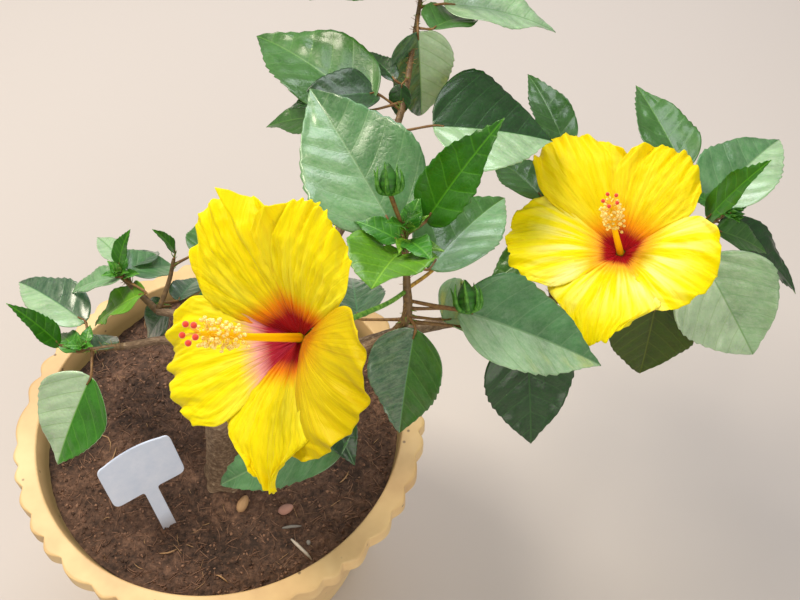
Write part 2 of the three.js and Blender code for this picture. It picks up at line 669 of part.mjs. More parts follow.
for (const [name, bloom] of Object.entries(BLOOMS)) {
  const sleeves = Object.values(stems).map(({ path, from }) => (
    limb(path, taper(from + 2 * GAP, TWIG_TIP + 2 * GAP), { sides: 6, steps: 2 * path.length })));
  const shell = largestShell(clearOf(bloomSolid(bloom), [...sleeves, ...limbs]), FOLIAGE_FINEST);
  occupied.push(solid(shell));
  addPiece(name, shell, 0xf7dc12, 0.6);
}

for (const [name, mass] of Object.entries(MASSES)) {
  const { path, wood } = stems[name];
  const line = curveThrough(path);
  const parts = [wood];
  const twigs = (mass.twigs ?? []).map((twig) => {
    const root = line.getPoint(twig.on);
    const points = [root, ...twig.line.map((step) => vec(step).add(root))];
    parts.push(clearOf(limb(points, taper(2, TWIG_TIP), { sides: 5, steps: 5 }), limbs));
    return curveThrough(points);
  });
  const skipped = [];
  const grow = (piece, label) => {
    if (touches(piece)) skipped.push(label);
    else parts.push(piece);
  };
  const nodeOf = (row) => (row.twig === undefined ? line : twigs[row.twig]).getPoint(row.on);
  mass.leaves.forEach((row, k) => grow(leaf(nodeOf(row), row), `leaf ${k}`));
  mass.rules.forEach((rule) => leavesByRule(rule)
    .forEach((row, k) => grow(leaf(line.getPoint(row.on), row), `rule ${k}`)));
  mass.buds.forEach((row, k) => grow(bud(line.getPoint(row.on), row), `bud ${k}`));
  (mass.cut ?? []).forEach(({ on, stalk: [azimuth, rise, length] }) => {
    const root = line.getPoint(on);
    const end = root.clone().addScaledVector(toward(azimuth, rise), length);
    grow(limb([root, end], taper(1.5, 1.1), { sides: 5, steps: 2 }), 'cut stalk');
  });
  const shell = largestShell(join(parts), FOLIAGE_FINEST);
  const mesh = addPiece(name, shell, 0x3f7a3a, 0.45);
  mesh.userData.skipped = skipped;
  occupied.push(solid(shell));
}

export default group;
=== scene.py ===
import itertools
import math
from collections import namedtuple
from functools import partial

import bpy
import numpy as np
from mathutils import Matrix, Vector
from mathutils.bvhtree import BVHTree


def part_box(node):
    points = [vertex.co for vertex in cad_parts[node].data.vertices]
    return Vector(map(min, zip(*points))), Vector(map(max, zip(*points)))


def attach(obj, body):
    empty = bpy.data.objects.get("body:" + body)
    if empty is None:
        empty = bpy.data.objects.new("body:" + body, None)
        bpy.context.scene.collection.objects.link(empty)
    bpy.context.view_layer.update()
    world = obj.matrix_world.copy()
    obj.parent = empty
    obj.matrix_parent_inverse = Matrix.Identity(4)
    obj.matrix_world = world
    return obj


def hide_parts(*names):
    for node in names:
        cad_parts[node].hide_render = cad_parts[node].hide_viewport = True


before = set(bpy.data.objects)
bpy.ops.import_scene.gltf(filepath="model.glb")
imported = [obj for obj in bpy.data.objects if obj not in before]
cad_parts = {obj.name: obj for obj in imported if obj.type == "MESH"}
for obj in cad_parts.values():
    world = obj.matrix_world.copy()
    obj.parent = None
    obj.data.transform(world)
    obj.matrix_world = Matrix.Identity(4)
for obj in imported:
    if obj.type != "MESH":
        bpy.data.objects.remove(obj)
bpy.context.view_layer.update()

# Camera
# It looks down at the plant from over the near side of the pot, as the photograph does.
# Its place, in millimetres from the middle of the pot's underside, comes from the ellipse of the rim.
MM = 0.001
CAMERA_PLACE = (136, -375, 888)
CAMERA_DOWN = 54
CAMERA_LENS = 45

camera = bpy.data.objects.new("camera", bpy.data.cameras.new("camera"))
camera.location = [MM * step for step in CAMERA_PLACE]
camera.rotation_euler = (math.radians(90 - CAMERA_DOWN), 0, 0)
camera.data.lens = CAMERA_LENS
bpy.context.scene.collection.objects.link(camera)
bpy.context.scene.camera = camera
# The plain transform keeps the petals' full yellow
bpy.context.scene.view_settings.view_transform = "Standard"

# Floor and light
# A pale matt studio floor that the pot stands on, a soft lamp high on the left behind the plant,
# a wide one behind it for the sheen of the leaves, a weak one in front, and a pale room.
FLOOR_SIZE = 40000
# Name, place, size, watts, colour
LAMPS = [
    ("key", (-750, 520, 1700), 560, 25, "FFF4E0"),
    ("sky", (200, 1150, 1700), 950, 17, "F4F6FF"),
    ("front", (700, -1500, 1300), 1500, 18, "FFF8EC"),
]
LAMP_AIM = (100, 0, 300)
ROOM_LIGHT = 0.42


def linear(colour):
    """The linear colour of an sRGB hex value."""
    parts = [int(colour[k:k + 2], 16) / 255 for k in (0, 2, 4)]
    return [c / 12.92 if c <= 0.04045 else ((c + 0.055) / 1.055) ** 2.4 for c in parts] + [1]


def fill(node, *inputs, **settings):
    """Sets a node's colour stops, options and inputs, by order or name; a node or socket is linked."""
    stops = settings.pop("stops", [])
    for _ in stops[2:]:
        node.color_ramp.elements.new(0.5)
    for k, (place, colour) in enumerate(stops):
        node.color_ramp.elements[k].position = place
        node.color_ramp.elements[k].color = linear(colour)
    named = {key.replace("_", " "): value for key, value in settings.items()}
    for key, value in settings.items():
        if key.replace("_", " ") not in node.inputs:
            setattr(node, key, value)
    pairs = list(zip([socket for socket in node.inputs if socket.enabled], inputs))
    pairs += [(node.inputs[key], value) for key, value in named.items() if key in node.inputs]
    for socket, value in pairs:
        if isinstance(value, bpy.types.Node):
            value = next(output for output in value.outputs if output.enabled)
        if isinstance(value, bpy.types.NodeSocket):
            node.id_data.links.new(value, socket)
        elif value is not None:
            socket.default_value = value
    return node


def add_node(tree, kind, *inputs, **settings):
    """Adds a node to a tree, with its settings and links; a kind in capitals is a Math operation."""
    if kind.isupper():
        kind, settings = "Math", {"operation": kind}
    if kind == "Mix":
        settings["data_type"] = "RGBA"
    return fill(tree.nodes.new("ShaderNode" + kind), *inputs, **settings)


def new_finish(name, colour=None, **settings):
    """A new material, its shader with this colour and these settings, and what adds a node to its tree."""
    finish = bpy.data.materials.new(name)
    finish.use_nodes = True
    shader = finish.node_tree.nodes["Principled BSDF"]
    fill(shader, Base_Color=linear(colour) if colour else None, **settings)
    return finish, shader, partial(add_node, finish.node_tree)


floor_mesh = bpy.data.meshes.new("floor")
corner = MM * FLOOR_SIZE / 2
floor_corners = [(-corner, -corner, 0), (corner, -corner, 0), (corner, corner, 0), (-corner, corner, 0)]
floor_mesh.from_pydata(floor_corners, [], [(0, 1, 2, 3)])
floor = bpy.data.objects.new("floor", floor_mesh)
bpy.context.scene.collection.objects.link(floor)
# Matt painted board: it takes soft shadows and shows no reflection
floor_mesh.materials.append(new_finish("matt_white_board", "C6BFBB", Roughness=0.9)[0])

for name, place, size, watts, colour in LAMPS:
    light = bpy.data.lights.new(name, "AREA")
    light.energy = watts
    light.size = MM * size
    light.color = linear(colour)[:3]
    lamp = bpy.data.objects.new(name, light)
    lamp.location = [MM * step for step in place]
    towards = MM * Vector(LAMP_AIM) - lamp.location
    lamp.rotation_euler = towards.to_track_quat("-Z", "Y").to_euler()
    bpy.context.scene.collection.objects.link(lamp)

room = bpy.data.worlds.new("room")
room.use_nodes = True
fill(room.node_tree.nodes["Background"], Color=linear("F8F4EC"), Strength=ROOM_LIGHT)
bpy.context.scene.world = room

# Pot
# One injection moulding in cream polypropylene: a tapering bucket under a flat rim that turns down.
# The rim's edge is scalloped; each lobe came out of the mould a little different.
POT_WALL = 3.5
POT_FLOOR = 5
POT_FOOT = 98
POT_MOUTH = 138
RIM_DROP = 15
RIM_PLATE = 4
RIM_SAG = 0.35
SCALLOPS = 40
SCALLOP_DEPTH = 4.5
RIM_ROUNDING = 2.6
LIP_ROUNDING = 1.6

pot_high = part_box("pot")[1] / MM
pot_height = pot_high.z
rim_radius = pot_high.x


def stacked(*parts):
    """Points or faces from the arrays of their parts, each stretched to the shape of the others."""
    return np.stack(np.broadcast_arrays(*parts), -1)


def noise(points, size, seed=0):
    """Smooth random values from -1 to 1 over space, with bumps about one size across."""
    cells = np.floor(points / size).astype(np.int64)
    part = points / size - cells
    ease = part * part * (3 - 2 * part)
    total = 0
    for step in itertools.product((0, 1), repeat=3):
        key = ((cells + step) * (73856093, 19349663, 83492791)).sum(-1) + 7919 * seed
        key = (key ^ (key >> 13)) * 1274126177 & 0xFFFFFFFF
        value = ((key ^ (key >> 16)) & 0xFFFF) / 32767.5 - 1
        total = total + value * np.prod(np.where(step, ease, 1 - ease), axis=-1)
    return total


def arc(start, corner, end, steps):
    """Points along the curve that rounds a corner."""
    start, corner, end = np.array([start, corner, end], float)
    shares = np.linspace(0, 1, steps + 1)
    return [(1 - t) ** 2 * start + 2 * t * (1 - t) * corner + t * t * end for t in shares]


def rounded(outline, sizes, steps):
    """An outline of (radius, height) corners, those with a size rounded by it."""
    outline = np.array(outline, float)
    points = []
    for k, corner in enumerate(outline):
        if k in sizes:
            before, after = outline[k - 1] - corner, outline[k + 1] - corner
            start = corner + before / np.linalg.norm(before) * sizes[k]
            end = corner + after / np.linalg.norm(after) * sizes[k]
            points += arc(start, corner, end, steps)
        else:
            points.append(corner)
    return np.array(points)


def grid_faces(rows, columns, closed=False):
    """Quads over a grid of points; a closed grid joins its last column to its first."""
    row, column = np.meshgrid(np.arange(rows - 1), np.arange(columns - 1 + closed), indexing="ij")
    first = (row * columns + column).ravel()
    second = (row * columns + (column + 1) % columns).ravel()
    return stacked(first, second, second + columns, first + columns)


def part_of(points, groups, grain=None, look=0):
    """A closed surface: points in millimetres, groups of faces, the points' grain, its finish or finishes."""
    looks = look if isinstance(look, list) else [look] * len(groups)
    looks = [np.broadcast_to(value, len(group)) for value, group in zip(looks, groups)]
    return points, groups, np.zeros((len(points), 3)) if grain is None else grain, np.concatenate(looks)


def add_piece(name, parts, finishes, slot, *replaced):
    """Joins parts into one mesh piece that rides on the pot's body and stands for the nodes it replaces."""
    points, groups, grain, looks = zip(*parts)
    faces = []
    offset = 0
    for part_points, part_groups in zip(points, groups):
        for group in part_groups:
            faces += (group + offset).tolist()
        offset += len(part_points)
    mesh = bpy.data.meshes.new(name)
    mesh.from_pydata(np.concatenate(points) * MM, [], faces, shade_flat=False)
    places = mesh.attributes.new("grain", "FLOAT_VECTOR", "POINT").data
    places.foreach_set("vector", np.concatenate(grain).ravel())
    for finish in finishes:
        mesh.materials.append(finish)
    mesh.polygons.foreach_set("material_index", np.concatenate(looks).astype(np.int32))
    piece = bpy.data.objects.new(name, mesh)
    bpy.context.scene.collection.objects.link(piece)
    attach(piece, "root")
    if replaced:
        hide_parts(*replaced)
    return piece


def bucket_wall(height):
    """The outside radius of the bucket at a height."""
    return POT_FOOT + (POT_MOUTH + POT_WALL - POT_FOOT) * height / pot_height


def lobes(turn):
    """How far the rim's edge falls back at an angle, in millimetres."""
    uneven = 0.3 * np.sin(3 * turn + 1) + 0.35 * np.sin(7 * turn + 0.4) + 0.25 * np.sin(13 * turn)
    lobe = np.abs(np.cos(SCALLOPS * turn / 2 + 1.5 * uneven))
    return SCALLOP_DEPTH * (1 - lobe ** 1.1) * (1.05 + 0.5 * uneven)


under_rim = pot_height - RIM_PLATE
skirt_inner = rim_radius - SCALLOP_DEPTH - POT_WALL
pot_outline = rounded([
    (0, 0), (POT_FOOT - 3, 0), (POT_FOOT, 3), (bucket_wall(60), 60), (bucket_wall(150), 150),
    (bucket_wall(under_rim), under_rim), (skirt_inner, under_rim), (skirt_inner, pot_height - RIM_DROP),
    (rim_radius, pot_height - RIM_DROP), (rim_radius, pot_height), (POT_MOUTH, pot_height),
    (bucket_wall(150) - POT_WALL, 150), (bucket_wall(POT_FLOOR) - POT_WALL, POT_FLOOR), (0, POT_FLOOR),
], {1: 2, 2: 2, 5: 1, 6: 1, 7: 1, 8: 1.2, 9: RIM_ROUNDING, 10: LIP_ROUNDING, 12: 4}, steps=5)
# More rings over the flat of the rim carry its slight unevenness
rim_start = np.argmax((pot_outline[:, 1] > pot_height - 0.01) & (pot_outline[:, 0] < rim_radius - 1))
rim_rings = np.linspace(pot_outline[rim_start], (POT_MOUTH + LIP_ROUNDING, pot_height), 9)[1:-1]
pot_outline = np.insert(pot_outline, rim_start + 1, rim_rings, axis=0)
pot_columns = 12 * SCALLOPS
turns = np.linspace(0, 2 * np.pi, pot_columns, endpoint=False)
radius, height = pot_outline[:, :1], pot_outline[:, 1:]
radius = radius - np.clip((radius - skirt_inner - 1) / (rim_radius - skirt_inner - 1), 0, 1) * lobes(turns)
flat = (height > pot_height - 0.5) & (radius > POT_MOUTH)
height = height - flat * RIM_SAG * (1 + np.sin(5 * turns + 0.7)) * (radius - POT_MOUTH) / 24
pot_points = stacked(radius * np.cos(turns), radius * np.sin(turns), height).reshape(-1, 3)
# The grain marks the inside of the wall, which is the outline's part past the lip
lip = np.flatnonzero(pot_outline[:, 1] > pot_height - 0.01)[-1]
inner = np.repeat(np.arange(len(pot_outline)) > lip, pot_columns)
pot_faces = grid_faces(len(pot_outline), pot_columns, closed=True)

# Moulded polypropylene: satin, a faint orange-peel skin, painted shade on the inside wall and dark specks of
# mix
pot_plastic, shader, add = new_finish("moulded_polypropylene", Roughness=0.48, IOR=1.49)
space = add("TexCoord").outputs["Object"]
cloud = add("TexNoise", space, Scale=14, Detail=4, Roughness=0.6)
shade = add("ValToRGB", cloud, stops=[(0.3, "C6A070"), (0.5, "DCBA84"), (0.72, "ECCF98")])
# Specks are about 2 mm across, in half of the cells of 10 mm
speck = add("TexVoronoi", space, Scale=100)
fleck = add("MapRange", speck, 0.07, 0.15, 0.8, 0)
rare = add("MapRange", speck.outputs["Color"], 0.5, 0.58)
dots = add("MULTIPLY", fleck, rare)
# Painted shade: below the lip the inside wall is darkened to olive, as it lies in the pot's own shade
level = add("SeparateXYZ", space).outputs["Z"]
below_lip = add("MapRange", level, 0.216, 0.205, 0, 0.75)
wall = add("Attribute", attribute_name="grain").outputs["Vector"]
inside = add("SeparateXYZ", wall)
inner_shade = add("MULTIPLY", below_lip, inside)
inner_shaded = add("Mix", inner_shade, shade, linear("8E7A4C"))
marked = add("Mix", dots, inner_shaded, linear("5A4430"))
skin = add("TexNoise", space, Scale=420, Detail=2)
bumps = add("Bump", Strength=0.12, Distance=0.0006, Height=skin)
fill(shader, Base_Color=marked, Normal=bumps)
pot_part = part_of(pot_points, [pot_faces], np.outer(inner, (1, 0, 0)))
add_piece("pot_moulding", [pot_part], [pot_plastic], "pot_plastic", "pot")

# Potting mix
# Damp peat with bark fibre, filled to 19 mm below the rim by hand and crumbly on top.
# Shreds of bark, dry straw, a seed and a few chips of grit lie on it.
SOIL_TOP = 201
SOIL_DIP = 3
SOIL_RADIUS = 133.8
# The height and width of its lumps
LUMPS = [(1.5, 19), (1.1, 8), (0.8, 3.6), (0.4, 1.8)]
TRUNK_FOOT = (4, -38)
TRUNK_CLEAR = 19
CRUMBS = 3200
FIBRES = 1700
# The places of its finishes in their list
PEAT, BARK_CRUMB, BARK_FIBRE, DRY_STRAW, PINK_GRIT, GREY_GRIT, BLEACHED = range(7)
# What stands out on the mix in the photograph: (x, y, length, width, heading, finish)
SEEDS = [(19.5, -61.5, 14, 7.5, 1.2, DRY_STRAW), (52, -67, 12, 7, 0.4, PINK_GRIT),
         (-70, -61, 4, 3, 0.3, PINK_GRIT), (70, -92, 4, 3, 1.9, GREY_GRIT)]
# (x, y, length, thickness, finish, heading, bend)
STRAWS = [(65, -97, 22, 1.3, BLEACHED, -0.77, 0), (57, -80, 14, 1.2, GREY_GRIT, 0.1, 0),
          (-90, -6, 21, 0.5, DRY_STRAW, -0.7, -1.4), (-82, -22, 14, 0.5, DRY_STRAW, 1.4, 0.3),
          (-30, -100, 13, 0.6, DRY_STRAW, 0.3, 0.5), (10, -118, 11, 0.6, DRY_STRAW, 2.6, 0.2),
          (95, -40, 12, 0.5, DRY_STRAW, 1.0, 0.4)]
STRAW_HUMP = 1.2
soil_random = np.random.default_rng(4)


def soil_height(x, y):
    """The height of the mix: gently dipped, lumpy and level round the trunk's foot."""
    away = np.hypot(x - TRUNK_FOOT[0], y - TRUNK_FOOT[1])
    swell = 0.5 + 0.25 * np.sin(x / 17 + 1) + 0.25 * np.cos(y / 13)
    lumps = sum(depth * noise(stacked(x, y, 0), size, k) for k, (depth, size) in enumerate(LUMPS, 1))
    loose = np.clip((away - 16) / 12, 0, 1)
    return SOIL_TOP - SOIL_DIP * swell * loose + lumps * (0.25 + 0.75 * loose) - 0.3


rings = np.linspace(0.4, 1, 90) ** 0.8 * SOIL_RADIUS
rings = np.concatenate([np.linspace(0.5, rings[0], 40)[:-1], rings])
turns = np.linspace(0, 2 * np.pi, 400, endpoint=False)
x, y = np.outer(rings, np.cos(turns)), np.outer(rings, np.sin(turns))
top = stacked(x, y, soil_height(x, y)).reshape(-1, 3)
foot_radius = bucket_wall(POT_FLOOR) - POT_WALL - 1
foot_height = POT_FLOOR + 0.3
foot = stacked(foot_radius * np.cos(turns), foot_radius * np.sin(turns), foot_height)
soil_points = np.concatenate([top, foot, [(0, 0, top[0, 2]), (0, 0, foot_height)]])
last = len(top) + len(foot)
step = np.arange(len(turns))
following = (step + 1) % len(turns)
soil_part = part_of(soil_points, [
    grid_faces(len(rings) + 1, len(turns), closed=True)[:, ::-1],
    stacked(last, step, following),
    stacked(last + 1, len(top) + following, len(top) + step),
])


def scatter(count):
    """Random places on the mix, clear of the trunk's foot."""
    spread = (SOIL_RADIUS - 3) * np.sqrt(soil_random.random(count))
    angle = 2 * np.pi * soil_random.random(count)
    x, y = spread * np.cos(angle), spread * np.sin(angle)
    clear = np.hypot(x - TRUNK_FOOT[0], y - TRUNK_FOOT[1]) > TRUNK_CLEAR
    return zip(x[clear], y[clear])


def turned(points, axis, angle):
    """Points turned by an angle about one of the frame's axes."""
    c, s = math.cos(angle), math.sin(angle)
    a, b = [(1, 2), (2, 0), (0, 1)][axis]
    out = points.copy()
    out[..., a] = c * points[..., a] - s * points[..., b]
    out[..., b] = s * points[..., a] + c * points[..., b]
    return out


def on_mix(x, y, lift):
    """A point so far above the mix."""
    return np.array([x, y, soil_height(np.array([x]), np.array([y]))[0] + lift])


def crumb(x, y, size, look):
    """One crumb or chip: an uneven eight-sided lump that is half sunk."""
    corners = np.array([(1, 0, 0), (-1, 0, 0), (0, 1, 0), (0, -1, 0), (0, 0, 1), (0, 0, -1)]) * size
    corners = corners * soil_random.uniform(0.6, 1.2, (6, 1)) + soil_random.normal(0, 0.12, (6, 3)) * size
    corners = turned(corners, 2, soil_random.uniform(0, np.pi))
    corners = turned(corners, 0, soil_random.uniform(-0.7, 0.7))
    faces = np.array([(4, 0, 2), (4, 2, 1), (4, 1, 3), (4, 3, 0), (5, 2, 0), (5, 1, 2), (5, 3, 1), (5, 0, 3)])
    return part_of(corners + on_mix(x, y, 0.25 * size[2]), [faces], look=look)


def distances(path):
    """How far along a path each of its points lies."""
    return np.concatenate([[0], np.cumsum(np.linalg.norm(np.diff(path, axis=0), axis=1))])


def tube(path, radii, sides, look=0, relief=None):
    """A closed round limb along a path of points, with a radius at each; relief changes it over its skin."""
    path = np.asarray(path, float)
    radii = np.broadcast_to(radii, len(path))[:, None]
    lead = np.gradient(path, axis=0)
    lead /= np.linalg.norm(lead, axis=1)[:, None]
    normal = np.cross(lead[0], (0, 0, 1) if abs(lead[0][2]) < 0.9 else (1, 0, 0))
    normals = []
    for way in lead:
        normal = normal - way * (normal @ way)
        normal /= np.linalg.norm(normal)
        normals.append(normal)
    across = np.array(normals)[:, None]
    beside = np.cross(lead, normals)[:, None]
    along = distances(path)[:, None]
    turn = np.linspace(0, 2 * np.pi, sides, endpoint=False)
    reach = radii + 0.0 * turn
    if relief:
        reach = reach + relief(along, turn, reach)
    round_it = np.cos(turn)[:, None] * across + np.sin(turn)[:, None] * beside
    points = (path[:, None] + reach[..., None] * round_it).reshape(-1, 3)
    grain = stacked(along, turn, radii)
    ring = np.arange(sides)
    after = (ring + 1) % sides
    count = len(path) * sides
    end = count - sides
    groups = [grid_faces(len(path), sides, closed=True), stacked(count, after, ring),
              stacked(count + 1, end + ring, end + after)]
    grain = np.concatenate([grain.reshape(-1, 3), grain[0, :1], grain[-1, :1]])
    return part_of(np.concatenate([points, path[:1], path[-1:]]), groups, grain, look)


def fibre(x, y, length, width, look, heading=None, bend=None, hump=0):
    """A shred of bark or straw that lies on the mix in a slight curve."""
    heading = soil_random.uniform(0, 2 * np.pi) if heading is None else heading
    bend = soil_random.uniform(-0.4, 0.4) if bend is None else bend
    t = np.linspace(-0.5, 0.5, 5)
    px = x + length * t * math.cos(heading) - bend * length * t * t * math.sin(heading)
    py = y + length * t * math.sin(heading) + bend * length * t * t * math.cos(heading)
    pz = soil_height(px, py) + width * 0.6 + hump * (1 - 4 * t * t) + soil_random.uniform(0, 0.5)
    return tube(stacked(px, py, pz), width * np.array([0.5, 1, 1, 0.9, 0.4]), 4, look)


def seed_or_chip(x, y, length, width, heading, look):
    """A rounded seed or worn chip that lies on the mix."""
    share = np.linspace(-1, 1, 13)
    along = stacked(math.cos(heading) * share, math.sin(heading) * share, 0.12 * share) * length / 2
    radii = np.maximum(width / 2 * np.sqrt(1 - share ** 2), 0.05)
    return tube(along + on_mix(x, y, 0.3 * width), radii, 14, look,
                relief=lambda along, turn, reach: 0.1 * reach * np.sin(2 * turn + 0.3 * along))


soil_bits = []
for x, y in scatter(CRUMBS):
    size = soil_random.uniform(0.6, 2.0)
    size = size * np.array([1, soil_random.uniform(0.5, 1), soil_random.uniform(0.35, 0.8)])
    soil_bits.append(crumb(x, y, size, soil_random.choice([PEAT, PEAT, BARK_CRUMB, BARK_CRUMB, BARK_FIBRE])))
for x, y in scatter(FIBRES):
    long, wide = soil_random.uniform(3, 11), soil_random.uniform(0.12, 0.32)
    look = soil_random.choice([BARK_CRUMB, BARK_FIBRE, BARK_FIBRE, DRY_STRAW], p=[0.4, 0.3, 0.25, 0.05])
    soil_bits.append(fibre(x, y, long, wide, look))
soil_bits += [seed_or_chip(*seed) for seed in SEEDS]
soil_bits += [fibre(*straw, hump=STRAW_HUMP) for straw in STRAWS]

# Damp peat with no shine: rust-brown where fibre shows, and nearly black where the fine grain that also
# drives the bump is low, partly painted shade in its hollows
peat, shader, add = new_finish("damp_peat", Roughness=0.95)
space = add("TexCoord").outputs["Object"]
patches = add("TexNoise", space, Scale=26, Detail=6, Roughness=0.7)
grains = add("TexNoise", space, Scale=260, Detail=5, Roughness=0.75)
mixed = add("MULTIPLY_ADD", grains, 0.55, 0)
level = add("MULTIPLY_ADD", patches, 0.5, mixed)
earth = add("ValToRGB", level,
            stops=[(0.34, "1E1612"), (0.45, "3C2C24"), (0.56, "644A3C"), (0.68, "94705A")])
crust = add("Bump", Strength=0.8, Distance=0.002, Height=grains)
fill(shader, Base_Color=earth, Normal=crust)
# What lies loose on it is dry, matt and paler: bark, straw, two colours of grit, a bleached splinter
soil_finishes = [peat]
for name, colour, roughness in [
    ("bark_crumb", "6A4C3C", 0.9), ("bark_fibre", "94705A", 0.85), ("dry_straw", "B48E66", 0.7),
    ("pink_grit", "B88A7C", 0.8), ("grey_grit", "8F8B86", 0.8), ("bleached_wood", "D8CDC0", 0.75),
]:
    soil_finishes.append(new_finish(name, colour, Roughness=roughness)[0])
add_piece("potting_mix", [soil_part], [peat], "potting_mix", "soil")
add_piece("mix_litter", soil_bits, soil_finishes, "potting_mix")

# Plant tag
# A bare push-in label, die-cut from white polystyrene sheet 1.6 mm thick, with round corners and a domed top.
# It leans back a little, and its stem goes down into the mix.
TAG_WIDTH = 54
TAG_HEIGHT = 38
TAG_THICK = 1.6
TAG_BEVEL = 0.3
TAG_BOW = 0.6
TAG_STEM = 10
TAG_STEM_LENGTH = 58
TAG_STEM_ROUNDING = 2.5
TAG_CORNER = 6
TAG_FOOT = (-32.5, -78.5, SOIL_TOP)
TAG_STAND = 58
TAG_LEAN_BACK = 20
TAG_LEAN_LEFT = 1
TAG_TURN = 32
HEAP_CRUMBS = 46

half_width, half_height, half_stem = TAG_WIDTH / 2, TAG_HEIGHT / 2, TAG_STEM / 2
shoulder = half_width - TAG_CORNER
tag_side = np.array([
    (half_stem, -half_height - TAG_STEM_LENGTH),
    *arc((half_stem, -half_height - TAG_STEM_ROUNDING), (half_stem, -half_height),
         (half_stem + TAG_STEM_ROUNDING, -half_height), 4),
    *arc((shoulder, -half_height), (half_width, -half_height), (half_width, -half_height + TAG_CORNER), 6),
    *arc((half_width, half_height - TAG_CORNER), (half_width, half_height), (shoulder, half_height), 6),
    *arc((shoulder, half_height), (0, half_height + TAG_CORNER), (-shoulder, half_height), 16)[1:9],
])
tag_outline = np.concatenate([tag_side, tag_side[-2::-1] * (-1, 1)])


def tag_layer(shrink, depth):
    """The tag's outline drawn in by a bevel, at a depth through the sheet."""
    way = np.roll(tag_outline, -1, axis=0) - np.roll(tag_outline, 1, axis=0)
    inward = stacked(-way[:, 1], way[:, 0]) / np.linalg.norm(way, axis=1)[:, None]
    x, y = (tag_outline + inward * shrink).T
    return stacked(x, y + TAG_STAND, depth + TAG_BOW * (x / half_width) ** 2)


flat_side = TAG_THICK / 2
bevel_side = flat_side - TAG_BEVEL
tag_points = np.concatenate([tag_layer(TAG_BEVEL, -flat_side), tag_layer(0, -bevel_side),
                             tag_layer(0, bevel_side), tag_layer(TAG_BEVEL, flat_side)])
for axis, angle in [(2, TAG_LEAN_LEFT), (0, 90 - TAG_LEAN_BACK), (2, TAG_TURN)]:
    tag_points = turned(tag_points, axis, math.radians(angle))
count = len(tag_outline)
ring = np.arange(count)[None]
tag_faces = [grid_faces(4, count, closed=True), ring[:, ::-1], 3 * count + ring]
# Mix that was heaped against the stem as it was pushed in
heap = []
for _ in range(HEAP_CRUMBS):
    beside = soil_random.uniform(-8, 8)
    x = TAG_FOOT[0] + beside * math.cos(math.radians(TAG_TURN)) + soil_random.uniform(0, 3)
    y = TAG_FOOT[1] + beside * math.sin(math.radians(TAG_TURN)) - soil_random.uniform(0, 3)
    heap.append(crumb(x, y, soil_random.uniform(0.8, 2.4, 3), soil_random.choice([PEAT, BARK_CRUMB])))

# White polystyrene sheet: smooth and slightly bluish, with fine scuffs and a little dust by the mix
tag_sheet, shader, add = new_finish("white_polystyrene", IOR=1.59)
space = add("TexCoord").outputs["Object"]
scuffs = add("TexNoise", space, Scale=90, Detail=5, Roughness=0.7)
tone = add("ValToRGB", scuffs, stops=[(0.3, "CEDAF2"), (0.7, "DEE6FA")])
level = add("SeparateXYZ", space).outputs["Z"]
dust = add("MapRange", level, 0.214, 0.2, 0, 0.6)
dusted = add("Mix", dust, tone, linear("7C6A5C"))
dull = add("MapRange", scuffs, 0, 1, 0.34, 0.55)
fill(shader, Base_Color=dusted, Roughness=dull)
# Its faces are flat, so it isn't shaded round
tag_part = part_of(tag_points + TAG_FOOT, tag_faces)
add_piece("plant_tag", [tag_part], [tag_sheet], "tag_plastic", "tag").data.shade_flat()
add_piece("tag_heap", heap, soil_finishes[:2], "potting_mix")

# Trunk and boughs
# A young trunk with its root flare, sawn off where it forks, and five boughs that spread from the fork.
# The bark is thin and grey-brown, finely fissured, with leaf scars that ring the boughs.
TRUNK_LINE = [(*TRUNK_FOOT, SOIL_TOP - 4), (5, -38, 214), (9, -40, 250), (15, -44, 300)]
TRUNK_RADIUS = 12
TRUNK_TOP_RADIUS = 9.5
ROOT_FLARE = 17
ROOT_RIBS = 5
SCAR_SPACING = 23
# The line of each bough, and its radius at the fork and at its end
BOUGHS = {
    "bough_centre": ([(13, -43, 288), (40, -41, 316), (85, -35, 346), (130, -28, 370)], (6, 3.8)),
    "bough_right": ([(12, -40, 272), (60, -14, 302), (136, 10, 320), (235, 44, 306), (318, 80, 306)],
                    (5.6, 3)),
    "bough_rear": ([(12, -40, 286), (40, -4, 315), (80, 44, 350), (118, 100, 385)], (5, 3)),
    "bough_left": ([(13, -42, 290), (9, -8, 318), (-8, 16, 327), (-31, 24, 326)], (4.4, 2.6)),
    "bough_left_low": ([(11, -45, 276), (3, -12, 305), (-20, 6, 315), (-54, 5, 311)], (4.2, 2.6)),
}


def on_curve(knots, t):
    """The points at t, from 0 to 1, of the even Catmull-Rom curve through the knots."""
    knots = np.array(knots, float)
    knots = np.concatenate([[2 * knots[0] - knots[1]], knots, [2 * knots[-1] - knots[-2]]])
    spans = len(knots) - 3
    place = np.atleast_1d(np.asarray(t, float)) * spans
    span = np.clip(np.floor(place).astype(int), 0, spans - 1)
    f = (place - span)[:, None]
    p0, p1, p2, p3 = (knots[span + k] for k in range(4))
    m1, m2 = (p2 - p0) / 2, (p3 - p1) / 2
    return p1 + m1 * f + (3 * (p2 - p1) - 2 * m1 - m2) * f ** 2 + (2 * (p1 - p2) + m1 + m2) * f ** 3


def limb(knots, thick, sides, steps, look=0, relief=None, swell=None):
    """A tapering limb through the knots, with its radius at each end; swell adds to it by the way along."""
    path = on_curve(knots, np.linspace(0, 1, steps + 1))
    along = distances(path)
    share = along / along[-1]
    radii = thick[0] + (thick[1] - thick[0]) * share
    return tube(path, radii + swell(share) if swell else radii, sides, look, relief)


def bark_relief(along, turn, reach):
    """Fissures along the trunk and rings of old leaf scars, in millimetres."""
    spots = stacked(along * 0.35, reach * np.cos(turn) * 1.6, reach * np.sin(turn) * 1.6)
    scars = np.exp(-((along % SCAR_SPACING - 11) / 1.6) ** 2) * 0.05
    return reach * (0.075 * (0.5 * noise(spots, 3.2, 11) + 0.3 * noise(spots, 1.5, 12)) + scars)


